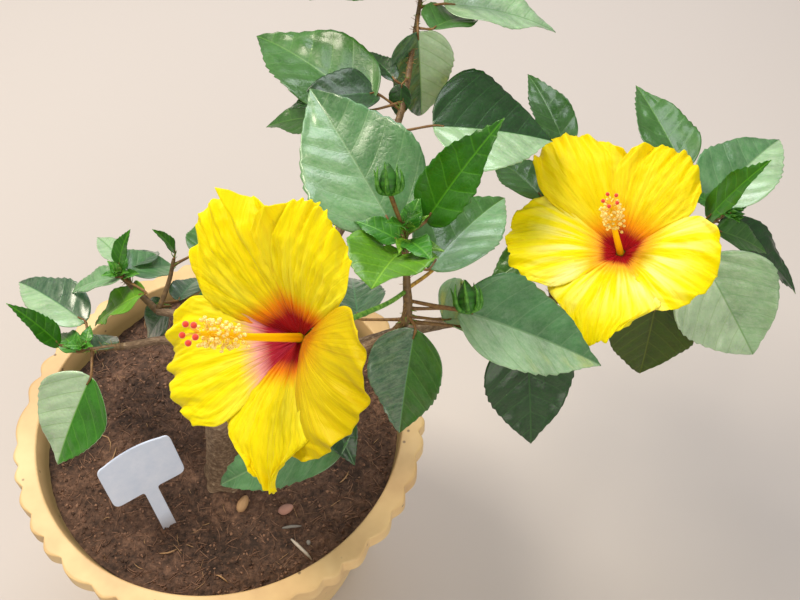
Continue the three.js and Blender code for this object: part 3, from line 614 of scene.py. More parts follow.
def flare_ribs(along, turn, reach):
    """The trunk's root ribs at its foot, and its bark."""
    return reach * 0.14 * np.exp(-along / 11) * np.cos(ROOT_RIBS * turn) + bark_relief(along, turn, reach)


trunk_part = limb(TRUNK_LINE, (TRUNK_RADIUS, TRUNK_TOP_RADIUS), 64, 110, relief=flare_ribs,
                  swell=lambda share: (ROOT_FLARE - TRUNK_RADIUS) * np.exp(-share * 9))
trunk_part[0][:, 2] = np.maximum(trunk_part[0][:, 2], SOIL_TOP - 2.5)

# Thin grey-brown bark: matt, streaked along the limb, with pale breathing pores
bark, shader, add = new_finish("shrub_bark", Roughness=0.85)
grain = add("Attribute", attribute_name="grain").outputs["Vector"]
space = add("TexCoord").outputs["Object"]
stretched = add("Mapping", grain, Scale=(0.12, 1.6, 1))
sheen_streaks = add("TexNoise", stretched, Scale=2.2, Detail=6, Roughness=0.7)
wood_tone = add("ValToRGB", sheen_streaks,
                stops=[(0.3, "4A3A2E"), (0.48, "755E4A"), (0.62, "947E66"), (0.8, "B09E86")])
# Pores are about 2 mm across and 6 mm apart
pores = add("TexVoronoi", space, Scale=170)
pore = add("MapRange", pores, 0.12, 0.2, 0.55, 0)
spotted = add("Mix", pore, wood_tone, linear("B09C82"))
cracks = add("Bump", Strength=0.6, Distance=0.0008, Height=sheen_streaks)
fill(shader, Base_Color=spotted, Normal=cracks)
add_piece("trunk_bark", [trunk_part], [bark], "bark", "trunk")
for name, (line, thick) in BOUGHS.items():
    bough_part = limb(line, thick, 28, 46 * (len(line) - 1), relief=bark_relief)
    add_piece(name + "_bark", [bough_part], [bark], "bark", name)

# Leaves and twigs
# Oval leaves that draw out to a point, coarsely toothed, waxy above and paler below, each on its own stalk.
# They grow in order up green-brown shoots that carry on from the boughs; stipules sit at the stalks' feet.
LEAF_WIDTH = 0.62
LEAF_BEND = 28
LEAF_FOLD = 14
LEAF_BLUNT = 0.9
LEAF_HALF_THICK = 0.17
STALK_RADIUS = 1.2
GOLDEN_ANGLE = 137.5
TWIG_TIP = 1.3
VEIN_SPACING = 0.17
VEIN_LEAN = 0.62
VEIN_CURVE = 0.008
# A packed mass has a leaf where its surface comes this near to the middle of the blade
BLADE_NEAR = 2.2
BUD_BRACTS = 7
# Old stipules stay on the shoots as dry bristles, about one to every millimetre and a half
BRISTLE_SPACING = 1.6
# The places of the twigs' finishes in their list, after the stalk's
STIPULE, BUD_SEPAL, BUD_BRACT, SHOOT, DRY, SPENT = range(1, 7)

# Blade colour, vein colour, roughness, waxy coat, share of pale streaks of painted sheen
LEAF_LOOKS = {
    "sage": ("427644", "76986C", 0.36, 0.4, 0.14),
    "pale": ("5E8E5C", "86AA80", 0.34, 0.5, 0.28),
    "teal": ("1C4A2C", "4A7A54", 0.28, 0.7, 0.2),
    "glossed": ("224E34", "5A8A64", 0.26, 0.9, 0.3),
    "deep": ("103812", "2F5E28", 0.36, 0.3, 0.03),
    "mid": ("2E621A", "5A8A3C", 0.36, 0.3, 0.06),
    # Painted sheen: the frost and silver looks are paler blades for wax turned to the light, and the pale
    # look is partly so
    "frost": ("84AC7E", "6E9C62", 0.32, 0.7, 0.5),
    "silver": ("A4C29C", "7CA65E", 0.3, 0.8, 0.5),
    "young": ("246000", "4C9010", 0.42, 0.15, 0.0),
    "lime": ("568E0C", "84B830", 0.42, 0.2, 0.05),
    "bright": ("2C7208", "5A9C28", 0.4, 0.2, 0.03),
    # Painted shade: the olive look is a leaf darkened by the right flower's shadow
    "olive": ("384606", "5A6818", 0.45, 0.0, 0.0),
    "underside": ("86AE6C", "C3D8A8", 0.6, 0.0, 0.1),
}
leaf_names = list(LEAF_LOOKS)
# Where a leaf stands along its shoot, the compass angle, rise and length of its stalk and of its blade,
# its width as a share, its look and that of its left half, which on some leaves is a paler painted sheen;
# then its form, and whether a side twig has it
Leaf = namedtuple("Leaf", "on stalk blade wide look left bend fold roll blunt twig",
                  defaults=(None, LEAF_BEND, LEAF_FOLD, 0, LEAF_BLUNT, False))


def seeded(seed):
    """The same random numbers for the same seed as in the part's source."""
    state = seed & 0xFFFFFFFF
    while True:
        state = (state + 0x6D2B79F5) & 0xFFFFFFFF
        t = (state ^ (state >> 15)) * (state | 1) & 0xFFFFFFFF
        t ^= (t + ((t ^ (t >> 7)) * (t | 61) & 0xFFFFFFFF)) & 0xFFFFFFFF
        yield ((t ^ (t >> 14)) & 0xFFFFFFFF) / 4294967296


def leaves_by_rule(count, first, last, start, rise, long, seed, look, wide=LEAF_WIDTH):
    """Leaves round a twig by the golden angle, longer the further from its tip."""
    draw = seeded(seed)
    leaves = []
    for k in range(count):
        along = k / (count - 1)
        azimuth = start + GOLDEN_ANGLE * k + 24 * (next(draw) - 0.5)
        length = long * (1 - 0.5 * along) * (0.85 + 0.3 * next(draw))
        lift = rise + 35 * along + 20 * (next(draw) - 0.5)
        leaves.append(Leaf(first + (last - first) * along, (azimuth, lift + 25, 0.3 * length),
                           (azimuth, lift - 10, length), wide, look))
    return leaves


# The youngest leaves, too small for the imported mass, crowd round each shoot's tip
YOUNGEST = leaves_by_rule(5, 0.9, 1, 75, 30, 15, 43, "bright")
# A mass grows on a shoot from its bough's end, or from a place on its side.
# A bud has its place on the shoot, its stalk, its length and where it faces
MASSES = {
    "mass_centre": dict(bough="bough_centre", stem=[(140, -23, 386), (140, -13, 410), (139, 2, 440)], leaves=[
        Leaf(0.36, (300, -8, 10), (252, -58, 80), 0.64, "glossed", "mid", bend=12, roll=8),
        Leaf(0.28, (3, -15, 80), (282, -56, 85), 0.72, "deep", bend=14, fold=2),
        Leaf(0.3, (162, -23, 34), (97, -13, 61), 0.66, "teal"),
        Leaf(0.34, (15, -28, 26), (28, -28, 76), 0.8, "frost"),
        Leaf(0.42, (4, -6, 30), (353, -18, 110), 0.6, "frost", "sage", bend=20, roll=10),
        Leaf(0.8, (357, -32, 15), (55, 2, 95), 0.56, "pale", "mid"),
        Leaf(0.86, (222, 23, 7), (251, 37, 48), 1.2, "lime", bend=22, fold=20, blunt=0.5),
        Leaf(0.94, (144, 10, 8), (122, 25, 108), 0.7, "sage", "pale", bend=18, roll=-10),
        Leaf(0.96, (33, 11, 14), (20, 62, 80), 0.46, "young", bend=16, roll=20),
        *leaves_by_rule(5, 0.86, 1, 160, 35, 30, 11, "bright"),
    ], youngest=leaves_by_rule(7, 0.84, 1, 200, 30, 21, 41, "lime", wide=0.5),
        buds=[(0.97, (150, 70, 30), 18, (95, 50)), (0.5, (346, 0, 38), 20, (98, 34))],
        spent=(0.6, (38, 10, 30))),
    "mass_rear": dict(bough="bough_rear", stem=[(136, 140, 398), (146, 195, 420), (154, 243, 443)], leaves=[
        Leaf(0.24, (15, 0, 27), (5, -6, 94), 0.94, "frost", "deep", bend=20, roll=10),
        Leaf(0.26, (165, 5, 29), (159, -10, 80), 0.6, "mid"),
        Leaf(0.36, (160, 30, 20), (198, 21, 64), 0.68, "deep", bend=34),
        Leaf(0.4, (209, 10, 29), (135, 12, 120), 0.6, "mid"),
        Leaf(0.46, (165, 32, 9), (122, 5, 47), 0.36, "deep"),
        Leaf(0.5, (251, 24, 14), (256, -56, 27), 0.62, "deep"),
        Leaf(0.72, (299, 33, 25), (55, -13, 66), 0.6, "mid"),
        Leaf(0.78, (269, 7, 20), (288, -75, 72), 0.68, "teal", "silver", bend=12, blunt=0.6),
        Leaf(0.82, (355, 13, 17), (7, -7, 94), 0.6, "frost"),
        Leaf(0.86, (120, 20, 20), (118, 0, 84), 0.62, "sage"),
        Leaf(0.9, (200, 30, 14), (190, 12, 70), 0.62, "mid"),
        *leaves_by_rule(5, 0.9, 1, 60, 10, 56, 5, "bright"),
    ], buds=[(1, (90, 55, 12), 14, (90, 55))]),
    "mass_rear_right": dict(
        bough="bough_right", side=0.78, stem=[(248, 66, 301), (258, 96, 310), (266, 122, 318)], leaves=[
        Leaf(1, (93, 21, 50), (108, 20, 81), 0.42, "mid"),
        Leaf(0.9, (140, 16, 26), (124, 4, 66), 0.6, "mid"),
        *leaves_by_rule(4, 0.5, 0.95, 70, -20, 64, 21, "mid"),
    ]),
    "mass_right": dict(bough="bough_right", stem=[(335, 87, 312), (355, 96, 325), (372, 102, 338)], leaves=[
        # Painted shade: this leaf's dark olive is the shadow of the flower above it
        Leaf(0.2, (265, -41, 34), (266, -69, 71), 0.92, "olive", bend=12),
        Leaf(0.5, (296, 12, 21), (317, -43, 96), 0.86, "silver", "frost", bend=18, roll=35, blunt=0.8),
        Leaf(0.5, (84, 16, 60), (103, 4, 100), 0.46, "mid", bend=12),
        Leaf(0.8, (41, -29, 14), (344, -25, 98), 0.42, "deep"),
        Leaf(0.92, (142, 28, 12), (47, 9, 107), 0.56, "frost", "sage"),
        Leaf(1, (207, 8, 18), (359, 73, 68), 0.42, "young", bend=14),
        *leaves_by_rule(4, 0.9, 1, 20, 25, 26, 3, "bright"),
        *leaves_by_rule(4, 0.1, 0.9, 70, -25, 76, 8, "mid"),
    ], buds=[(1, (300, 45, 10), 8, (300, 45))]),
    "mass_left": dict(
        bough="bough_left", stem=[(-44, 34, 333), (-52, 40, 337), (-57, 43, 342)],
        twig=(0.02, [(4, 3, 5), (10, 14, 16), (14, 22, 28)]), leaves=[
        Leaf(0.55, (105, 14, 14), (75, -22, 46), 0.62, "teal"),
        Leaf(0.62, (94, 41, 8), (43, -21, 43), 0.8, "sage"),
        Leaf(0.8, (95, 25, 12), (130, 0, 42), 0.42, "frost"),
        Leaf(0.86, (321, 11, 25), (174, -35, 67), 0.42, "lime", bend=20),
        Leaf(0.9, (300, 50, 5), (168, -20, 55), 0.38, "pale"),
        Leaf(1, (89, 44, 6), (43, 73, 31), 0.52, "young"),
        Leaf(0.3, (45, -36, 15), (78, -18, 45), 0.5, "teal", twig=True),
        Leaf(0.9, (24, 16, 18), (89, -8, 49), 0.38, "mid", twig=True),
        Leaf(1, (79, 27, 5), (181, 81, 27), 0.42, "young", twig=True),
        Leaf(0.05, (38, -32, 13), (205, -40, 40), 0.85, "teal"),
        *leaves_by_rule(3, 0.8, 1, 0, 40, 16, 7, "bright"),
    ]),
    "mass_left_low": dict(bough="bough_left_low", stem=[(-64, 3, 312), (-73, 1, 313), (-81, 0, 315)], leaves=[
        Leaf(0.25, (201, 11, 13), (71, -20, 29), 0.85, "teal"),
        Leaf(0.5, (43, 3, 34), (131, -19, 45), 0.5, "teal"),
        Leaf(0.75, (277, -5, 20), (233, -41, 75), 0.78, "silver", "bright", bend=16, roll=-8),
        Leaf(0.8, (197, 0, 8), (130, -14, 42), 0.42, "bright"),
        Leaf(0.9, (102, -4, 23), (141, -1, 89), 0.43, "teal", "frost"),
        Leaf(1, (184, 24, 15), (167, 70, 48), 0.38, "young", bend=24),
        *leaves_by_rule(3, 0.8, 1, 60, 30, 20, 14, "bright"),
    ]),
    "mass_front": dict(bough="bough_centre", side=0.55, stem=[(80, -50, 343), (86, -58, 344)], leaves=[
        Leaf(1, (321, -9, 26), (187, -28, 112), 0.43, "sage", bend=16, roll=-12, blunt=0.75),
        *leaves_by_rule(3, 0.5, 1, 175, -20, 56, 31, "deep"),
    ]),
    "mass_inner": dict(bough="bough_rear", side=0.5, stem=[(52, 16, 340), (46, 22, 352), (42, 26, 364)],
                       leaves=leaves_by_rule(9, 0.2, 1, 130, -12, 62, 17, "mid")),
}


def toward(azimuth, rise):
    """A direction from its compass angle, anticlockwise from +X, and its rise over the horizon."""
    a, r = math.radians(azimuth), math.radians(rise)
    return np.array([math.cos(r) * math.cos(a), math.cos(r) * math.sin(a), math.sin(r)])


def axes_of(azimuth, rise, roll=0):
    """The ways beside, above and along something that points this way."""
    along = toward(azimuth, rise)
    up = np.array([0, 0, 1.0]) - along * along[2]
    up /= np.linalg.norm(up)
    roll = math.radians(roll)
    up = up * math.cos(roll) + np.cross(along, up) * math.sin(roll)
    return np.cross(up, along), up, along


def sheet(upper, lower, grain=None, look=0, flip=False):
    """A closed sheet of two grids of points, joined round their rim; flip turns its faces over."""
    rows, columns = upper.shape[:2]
    count = rows * columns
    index = np.arange(count).reshape(rows, columns)
    rim = np.concatenate([index[:-1, 0], index[-1, :-1], index[:0:-1, -1], index[0, :0:-1]])
    after = np.roll(rim, -1)
    faces = grid_faces(rows, columns)
    groups = [faces, (faces + count)[:, ::-1], stacked(rim, after, count + after, count + rim)]
    if flip:
        groups = [group[:, ::-1] for group in groups]
    if grain is not None:
        grain = np.tile(grain.reshape(-1, 3), (2, 1))
    return part_of(np.concatenate([upper.reshape(-1, 3), lower.reshape(-1, 3)]), groups, grain, look)


def blade_part(foot, leaf, seed):
    """One leaf blade, a closed sheet: toothed edge, waved margin, and the skin puckered between its veins."""
    side, up, along = axes_of(*leaf.blade[:2], leaf.roll)
    length = leaf.blade[2]
    teeth = 13 if length > 30 else 8
    rows, columns = 4 * teeth + 1, 22 if length > 50 else 14
    u = np.linspace(0.015, 1, rows)[:, None]
    v = np.linspace(-1, 1, columns + 1)[None]
    v = np.sign(v) * (1 - (1 - np.abs(v)) ** 1.15)
    half = np.sin(np.pi * u ** 0.66) ** leaf.blunt * (1 - 0.2 * u ** 5)
    half = np.maximum(half * leaf.wide * length / 2, 0.35)
    tooth = (u * teeth + 0.35) % 1
    bite = np.clip((u - 0.22) / 0.15, 0, 1) * np.clip((1.01 - u) / 0.1, 0, 1)
    depth = 0.02 if leaf.look in ("young", "lime", "bright") else 0.013
    depth = depth * (1 + 0.5 * np.sin(9 * u + 2 * seed + np.sign(v)))
    half = half + (tooth - 0.6) * depth * length * bite * np.abs(v) ** 6
    turn, fold = math.radians(leaf.bend), math.radians(leaf.fold)
    forward = length * np.sin(turn * u) / turn
    fall = length * (1 - np.cos(turn * u)) / turn
    across = v * half * math.cos(fold)
    beside = np.abs(across)
    lift = half * math.sin(fold) * np.abs(v) ** 1.25
    # The waves die out towards the narrow tip
    room = np.clip(half / (0.16 * length), 0, 1)
    ripple = 0.04 if leaf.look in ("lime", "bright") else 0.02
    phase = 2 * np.pi * (2.1 * u + 0.31 * seed) + np.sign(v) * 0.8
    wave = ripple * length * room * np.abs(v) ** 3 * np.sin(phase)
    curl = -0.05 * length * room * u ** 3 * np.sin(1.7 * seed) * v
    spread = np.abs(v) * half
    vein = (u * length - VEIN_LEAN * spread - VEIN_CURVE * spread ** 2) / (VEIN_SPACING * length)
    uneven = noise(stacked(u * 5, v * 3, 2.7 * seed), 1, 31)
    pillow = np.abs(np.sin(np.pi * vein)) - 0.5
    pucker = 0.011 * length * pillow * np.clip(beside / 7, 0, 1) * (1 + 0.7 * uneven)
    pucker = pucker + 0.015 * length * room * uneven * np.clip(beside / 9, 0, 1)
    groove = -0.006 * length * np.exp(-(beside / 1.3) ** 2)
    rise = lift - fall + wave + curl + pucker * (1 - np.abs(v) ** 8) + groove
    middle = foot + forward[..., None] * along + rise[..., None] * up + across[..., None] * side
    normal = np.cross(np.gradient(middle, axis=0), np.gradient(middle, axis=1))
    normal /= np.linalg.norm(normal, axis=2)[..., None]
    rib = 0.7 * np.exp(-(beside / 1.1) ** 2) * (1 - 0.8 * u) * min(1, length / 70)
    left_half = np.tile(np.arange(columns) >= columns / 2, rows - 1)
    look, left, under = (leaf_names.index(name) for name in (leaf.look, leaf.left or leaf.look, "underside"))
    looks = [np.where(left_half, left, look), under, look]
    return sheet(middle + normal * LEAF_HALF_THICK, middle - normal * (LEAF_HALF_THICK + rib)[..., None],
                 stacked(u * length, v * half, length), looks, flip=True)


def stalk_parts(node, leaf):
    """A leaf's stalk, with two stipules where it leaves the twig."""
    azimuth, rise, length = leaf.stalk
    lead = toward(azimuth, rise)
    foot = node + lead * length
    sunk = foot + toward(*leaf.blade[:2]) * 0.1 * leaf.blade[2]
    thick = STALK_RADIUS * (0.75 if leaf.blade[2] < 40 else 1)
    parts = [limb([node, foot, sunk], (thick, 0.45 * thick), 8, 12, swell=lambda share: thick * (
        0.5 * np.exp(-share * 16) + 0.25 * np.exp(-((share - 0.7) / 0.07) ** 2)))]
    for k in (-1, 1):
        out = toward(azimuth + 70 * k, rise + 35)
        root = node + lead * 1.6
        parts.append(limb([root, root + out * 3, root + out * 4.5 + lead * 2.5], (0.45, 0.12), 5, 4,
                          look=STIPULE))
    return parts


def bud_parts(node, stalk, size, faces):
    """A closed flower bud on its stalk: five sepals that meet at the top, in a collar of narrow bracts."""
    foot = node + toward(*stalk[:2]) * stalk[2]
    lead = toward(*faces)
    across = np.cross(lead, (0, 0, 1))
    across /= np.linalg.norm(across)
    beside = np.cross(lead, across)
    share = np.linspace(0, 1, 22)
    body = 0.3 + size * 0.33 * np.sin(np.pi * np.clip(0.14 + 0.86 * share ** 0.8, 0, 1)) ** 0.9
    parts = [limb([node, node + 0.5 * (foot - node), foot + lead], (1.1, 1.5), 10, 14),
             tube(foot + share[:, None] * lead * size, body, 40, BUD_SEPAL, relief=lambda along, turn, reach:
                  -0.09 * reach * np.abs(np.sin(2.5 * turn + 0.12 * along)) ** 0.4)]
    for k in range(BUD_BRACTS):
        angle = 2 * np.pi * k / BUD_BRACTS
        out = math.cos(angle) * across + math.sin(angle) * beside
        knee = foot + out * 0.36 * size + lead * 0.14 * size
        bend = foot + out * 0.43 * size + lead * 0.52 * size
        tip = foot + out * (0.36 + 0.14 * (k % 2)) * size + lead * (0.8 + 0.1 * (k % 3)) * size
        parts.append(limb([foot, knee, bend, tip], (1.2, 0.2), 6, 12, look=BUD_BRACT,
                          swell=lambda share: 0.7 * np.sin(np.pi * share)))
    return parts


# Waxy leaf skin: satin, mottled, with paler veins that slant from the midrib towards the tip, and painted
# sheen in pale streaks
leaf_finishes = []
for name, (blade, veins, roughness, coat, sheen_streaks) in LEAF_LOOKS.items():
    finish, shader, add = new_finish(
        "leaf_" + name, IOR=1.45, Coat_Weight=coat, Coat_Roughness=0.2, Subsurface_Weight=0.12,
        Subsurface_Radius=(0.0012, 0.0024, 0.0006), Subsurface_Scale=1)
    grain = add("Attribute", attribute_name="grain").outputs["Vector"]
    space = add("TexCoord").outputs["Object"]
    place = add("SeparateXYZ", grain)
    length = place.outputs["Z"]
    beside = add("ABSOLUTE", place.outputs["Y"])
    # Side veins leave the midrib a sixth of the leaf apart
    square = add("POWER", beside, 2)
    bent = add("MULTIPLY_ADD", square, -VEIN_CURVE, place)
    back = add("MULTIPLY_ADD", beside, -VEIN_LEAN, bent)
    spacing = add("MULTIPLY", length, VEIN_SPACING)
    order = add("DIVIDE", back, spacing)
    nearest = add("PINGPONG", order, 0.5)
    off_vein = add("MULTIPLY", nearest, spacing)
    side_vein = add("MapRange", off_vein, 0.1, 0.9, 0.42, 0)
    midrib = add("MapRange", beside, 0.25, 0.9, 0.8, 0)
    # Net veins enclose cells about 4 mm across
    net = add("TexVoronoi", grain, Scale=0.26, feature="DISTANCE_TO_EDGE")
    mesh = add("MapRange", net, 0.02, 0.14, 0.07, 0)
    main = add("MAXIMUM", side_vein, midrib)
    lines = add("MAXIMUM", main, mesh)
    mottle = add("TexNoise", space, Scale=38, Detail=5, Roughness=0.6)
    light_and_dark = add("MapRange", mottle, 0.3, 0.7, 0.72, 1.24)
    skin = add("Mix", 1, linear(blade), light_and_dark, blend_type="MULTIPLY")
    # Painted sheen: pale streaks that run with the side veins stand for light that the wax catches
    out = add("MULTIPLY", beside, 0.035)
    streak_place = add("CombineXYZ", order, out, length)
    streak = add("TexNoise", streak_place, Scale=4.5, Detail=7, Roughness=0.75)
    sheen_amount = add("MapRange", streak, 0.36, 0.7, 0, sheen_streaks)
    painted_sheen = add("Mix", sheen_amount, skin, linear("C8D8BC"))
    veined = add("Mix", lines, painted_sheen, linear(veins))
    # Rain marks and dust leave the wax duller in places
    dull = add("MapRange", mottle, 0.35, 0.65, roughness - 0.06, roughness + 0.14)
    # The skin between the net veins stands up in low pillows
    fine = add("TexNoise", space, Scale=900, Detail=3)
    pillows = add("MULTIPLY_ADD", net, -1.1, lines)
    relief = add("MULTIPLY_ADD", fine, 0.3, pillows)
    bump = add("Bump", Strength=0.6, Distance=0.0004, Height=relief, invert=True)
    fill(shader, Base_Color=veined, Roughness=dull, Normal=bump)
    leaf_finishes.append(finish)


def stem_finish(name, low, high):
    """Young bark: smooth, a little waxy, streaked along the shoot."""
    finish, shader, add = new_finish(name, Roughness=0.55, IOR=1.45)
    grain = add("Attribute", attribute_name="grain").outputs["Vector"]
    streak = add("TexNoise", grain, Scale=0.5, Detail=4)
    tone = add("ValToRGB", streak, stops=[(0.35, low), (0.65, high)])
    fill(shader, Base_Color=tone)
    return finish


twig_finishes = [stem_finish(*look) for look in [
    ("reddish_stalk", "6E4A2C", "8A6A3A"), ("green_stipule", "4F7A2A", "86A848"),
    ("bud_sepal", "1E4C10", "34701C"), ("bud_bract", "2C6814", "5E9A34"),
    ("shoot_bark", "5A4630", "7C6240"), ("dry_stipule", "7A5A34", "A8864E"),
    ("spent_stalk", "8A6236", "D2A83A"),
]]
bristle_random = np.random.default_rng(23)

for name, mass in MASSES.items():
    line, (_, tip) = BOUGHS[mass["bough"]]
    path = [on_curve(line, mass.get("side", 1))[0], *mass["stem"]]
    thick = 0.8 * tip if "side" in mass else tip
    twigs = [limb(path, (thick, TWIG_TIP), 16, 24 * len(path), look=SHOOT, relief=bark_relief)]
    if "twig" in mass:
        root = on_curve(path, mass["twig"][0])[0]
        side_path = [root, *(root + np.array(mass["twig"][1], float))]
        twigs.append(limb(side_path, (2, TWIG_TIP), 12, 30, look=SHOOT, relief=bark_relief))
    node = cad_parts[name].data
    packed = BVHTree.FromPolygons([v.co for v in node.vertices], [p.vertices for p in node.polygons])
    blades = []
    for seed, leaf in enumerate([*mass["leaves"], *mass.get("youngest", YOUNGEST)], 1):
        root = on_curve(side_path if leaf.twig else path, leaf.on)[0]
        foot = root + toward(*leaf.stalk[:2]) * leaf.stalk[2]
        _, up, along = axes_of(*leaf.blade[:2], leaf.roll)
        middle = foot + 0.45 * leaf.blade[2] * (along - up * math.radians(leaf.bend) * 0.45 / 2)
        # The source leaves out a leaf that would touch something else
        away = packed.find_nearest(Vector(middle) * MM)[3]
        if away < BLADE_NEAR * MM or seed > len(mass["leaves"]):
            twigs += stalk_parts(root, leaf)
            blades.append(blade_part(foot, leaf, seed))
    for on, stalk, size, faces in mass.get("buds", []):
        twigs += bud_parts(on_curve(path, on)[0], stalk, size, faces)
    if "spent" in mass:
        on, (azimuth, rise, length) = mass["spent"]
        root = on_curve(path, on)[0]
        lead = toward(azimuth, rise) * length
        droop = root + 0.5 * lead - (0, 0, 1.5)
        twigs.append(limb([root, droop, root + lead], (1.3, 1.0), 10, 16, look=SPENT))
    reach = distances(on_curve(path, np.linspace(0, 1, 60)))[-1]
    for on in bristle_random.uniform(0.1, 0.97, int(reach / BRISTLE_SPACING)):
        root = on_curve(path, on)[0]
        way = toward(bristle_random.uniform(0, 360), bristle_random.uniform(-10, 60))
        girth = thick + (TWIG_TIP - thick) * on
        knee = root + way * (girth + 1.2)
        tip = root + way * (girth + bristle_random.uniform(2, 3.6)) + (0, 0, bristle_random.uniform(-1, 1.5))
        twigs.append(limb([root, knee, tip], (0.42, 0.1), 4, 3, look=DRY))
    add_piece(name.replace("mass", "leaves"), blades, leaf_finishes, "leaf", name)
    add_piece(name.replace("mass", "twigs"), twigs, twig_finishes, "bark")

# Blooms
# Two open flowers: five thin crinkled petals that overlap round a deep red throat, and the long column
# of joined stamens with its five stigmas. A green calyx holds the petals behind, on a long stalk.
PETAL_LENGTH = 80
PETAL_WIDTH = 74
PETAL_HALF_THICK = 0.2
ANTHERS = 84
STIGMAS = 5
SEPALS = 5
SEPAL_LENGTH = 19
BRACTS = 7
# The places of the finishes of a flower's middle in their list, after the column's
THREAD, POLLEN, VELVET, CALYX = range(1, 5)
# A petal's turn round the throat, its length and width as shares, its lift and its look, then its form
Petal = namedtuple("Petal", "turn long wide lift look teeth crinkle narrow round skew full crest",
                   defaults=(1, 1, 0.1, 0.05, 0, 1.2, (0, 0)))
BLOOMS = {
    "bloom_left": {
        "throat": (71, -74, 439), "faces": (217, 42), "column_tip": (0, 3, 60), "pad": 1.7,
        "stem": [(141, -14, 402), (128, -32, 412), (104, -52, 422)],
        "petals": [
            Petal(14, 0.91, 0.84, 4, 0, teeth=1.3),
            Petal(-82, 0.87, 1.14, 2, 2, teeth=0.6, crinkle=0.6),
            Petal(-140, 1.0, 0.86, -2, 0, crinkle=1.1, narrow=0.6),
            Petal(146, 1.0, 0.95, 0, 1, round=0, skew=0.03),
            Petal(65, 1.0, 0.86, 8, 0, crinkle=1.9, round=0.16, full=0.8, crest=(0.35, 16)),
        ],
    },
    "bloom_right": {
        "throat": (292, 77, 336), "faces": (215, 72), "column_tip": (-6, 2, 44), "pad": 1.4,
        "stem": [(334, 86, 316), (322, 86, 306), (308, 82, 302)],
        "petals": [
            Petal(14, 0.94, 0.78, 6, 4, teeth=0.5),
            Petal(-73, 0.87, 0.96, 2, 3, teeth=0.5),
            Petal(-145, 0.98, 1.0, -2, 3, crinkle=1.3, narrow=0.4),
            Petal(138, 0.96, 0.96, 0, 3, teeth=1.2),
            Petal(72, 1.14, 0.88, 4, 4, skew=-0.09),
        ],
    },
}


def petal_part(petal, phase, place):
    """One petal, a closed sheet that fans out from the throat, crinkles along its veins and frills."""
    u = np.linspace(0, 1, 64)[:, None]
    v = np.linspace(-1, 1, 85)[None]
    edge = stacked(v * 9, 0, 5.3 * phase)
    notch = noise(edge, 1, 21) + 0.6 * noise(edge, 0.45, 22)
    reach = u * (1 - 0.2 * v * v - petal.round * v ** 6 + petal.skew * v)
    out = 3 + PETAL_LENGTH * petal.long * reach + 1.6 * petal.teeth * notch * u ** 10
    fan = np.sin(np.pi / 2 * np.minimum(1, u / 0.78)) ** petal.full
    closing = np.clip((u - 0.72) / 0.28, 0, 1)
    half = 3 + PETAL_WIDTH / 2 * petal.wide * fan
    half = half * (1 - petal.narrow * closing * closing * (3 - 2 * closing))
    cup = -16 + 30 * (1 - (1 - reach) ** 2) - 8 * reach ** 4
    ruffle = 2.4 * u * u * np.sin(5 * v - phase)
    overlap = -4 * v * u
    frill = u ** 5 * (2.4 * np.sin(13 * v + 2 * phase) + 1.5 * np.sin(23 * v + 4 * phase))
    spots = stacked(v * 6.5, u * 1.4, 3.1 * phase)
    coarse, fine = noise(spots * (1, 1.8, 1), 0.7, 23), noise(spots * (2.6, 4.5, 1), 0.7, 24)
    crinkle = 2.1 * (0.5 - np.abs(coarse)) + 1.1 * (0.5 - np.abs(fine))
    crinkle = petal.crinkle * crinkle * np.sin(np.pi * np.clip(u * 0.85 + 0.05, 0, 1)) ** 0.7
    crest = petal.crest[1] * np.exp(-((v - petal.crest[0]) / 0.1) ** 2) * u ** 2
    rib = 0.8 * np.exp(-(v / 0.05) ** 2) * (1 - u) * u * 3
    heights = cup + petal.lift * reach * reach + ruffle + overlap + frill + crinkle + crest + rib
    middle = stacked(v * half, out, heights)
    normal = np.cross(np.gradient(middle, axis=1), np.gradient(middle, axis=0))
    normal *= PETAL_HALF_THICK / np.linalg.norm(normal, axis=2)[..., None]
    skins = [turned(skin, 2, math.radians(petal.turn)) for skin in (middle + normal, middle - normal)]
    return sheet(place(skins[0]), place(skins[1]), stacked(out, v * half, phase), petal.look)


def sepal_part(turn, place):
    """One pointed lobe of the calyx, a closed sheet that lies against the backs of the petals."""
    u = np.linspace(0, 1, 16)[:, None]
    v = np.linspace(-1, 1, 11)[None]
    out = 4.5 + SEPAL_LENGTH * u
    half = (4.6 * (1 - u ** 1.6) + 0.2) * v
    back = (np.sqrt(out ** 2 + half ** 2) - 3) / PETAL_LENGTH
    heights = -19.2 + 30 * (1 - (1 - back) ** 2) - 0.5 * (1 - v * v)
    skins = [turned(stacked(half, out, skin), 2, math.radians(turn)) for skin in (heights, heights - 0.5)]
    return sheet(place(skins[0]), place(skins[1]), look=CALYX)


def ball(centre, size, look, flat=1, rings=5, sides=8):
    """A small rounded body, such as a pollen sac or a stigma's pad."""
    lift = np.linspace(-1, 1, rings + 2)
    radii = np.maximum(size * np.sqrt(1 - lift ** 2), 0.02)
    return tube(centre + stacked(0, 0, lift * size * flat), radii, sides, look)
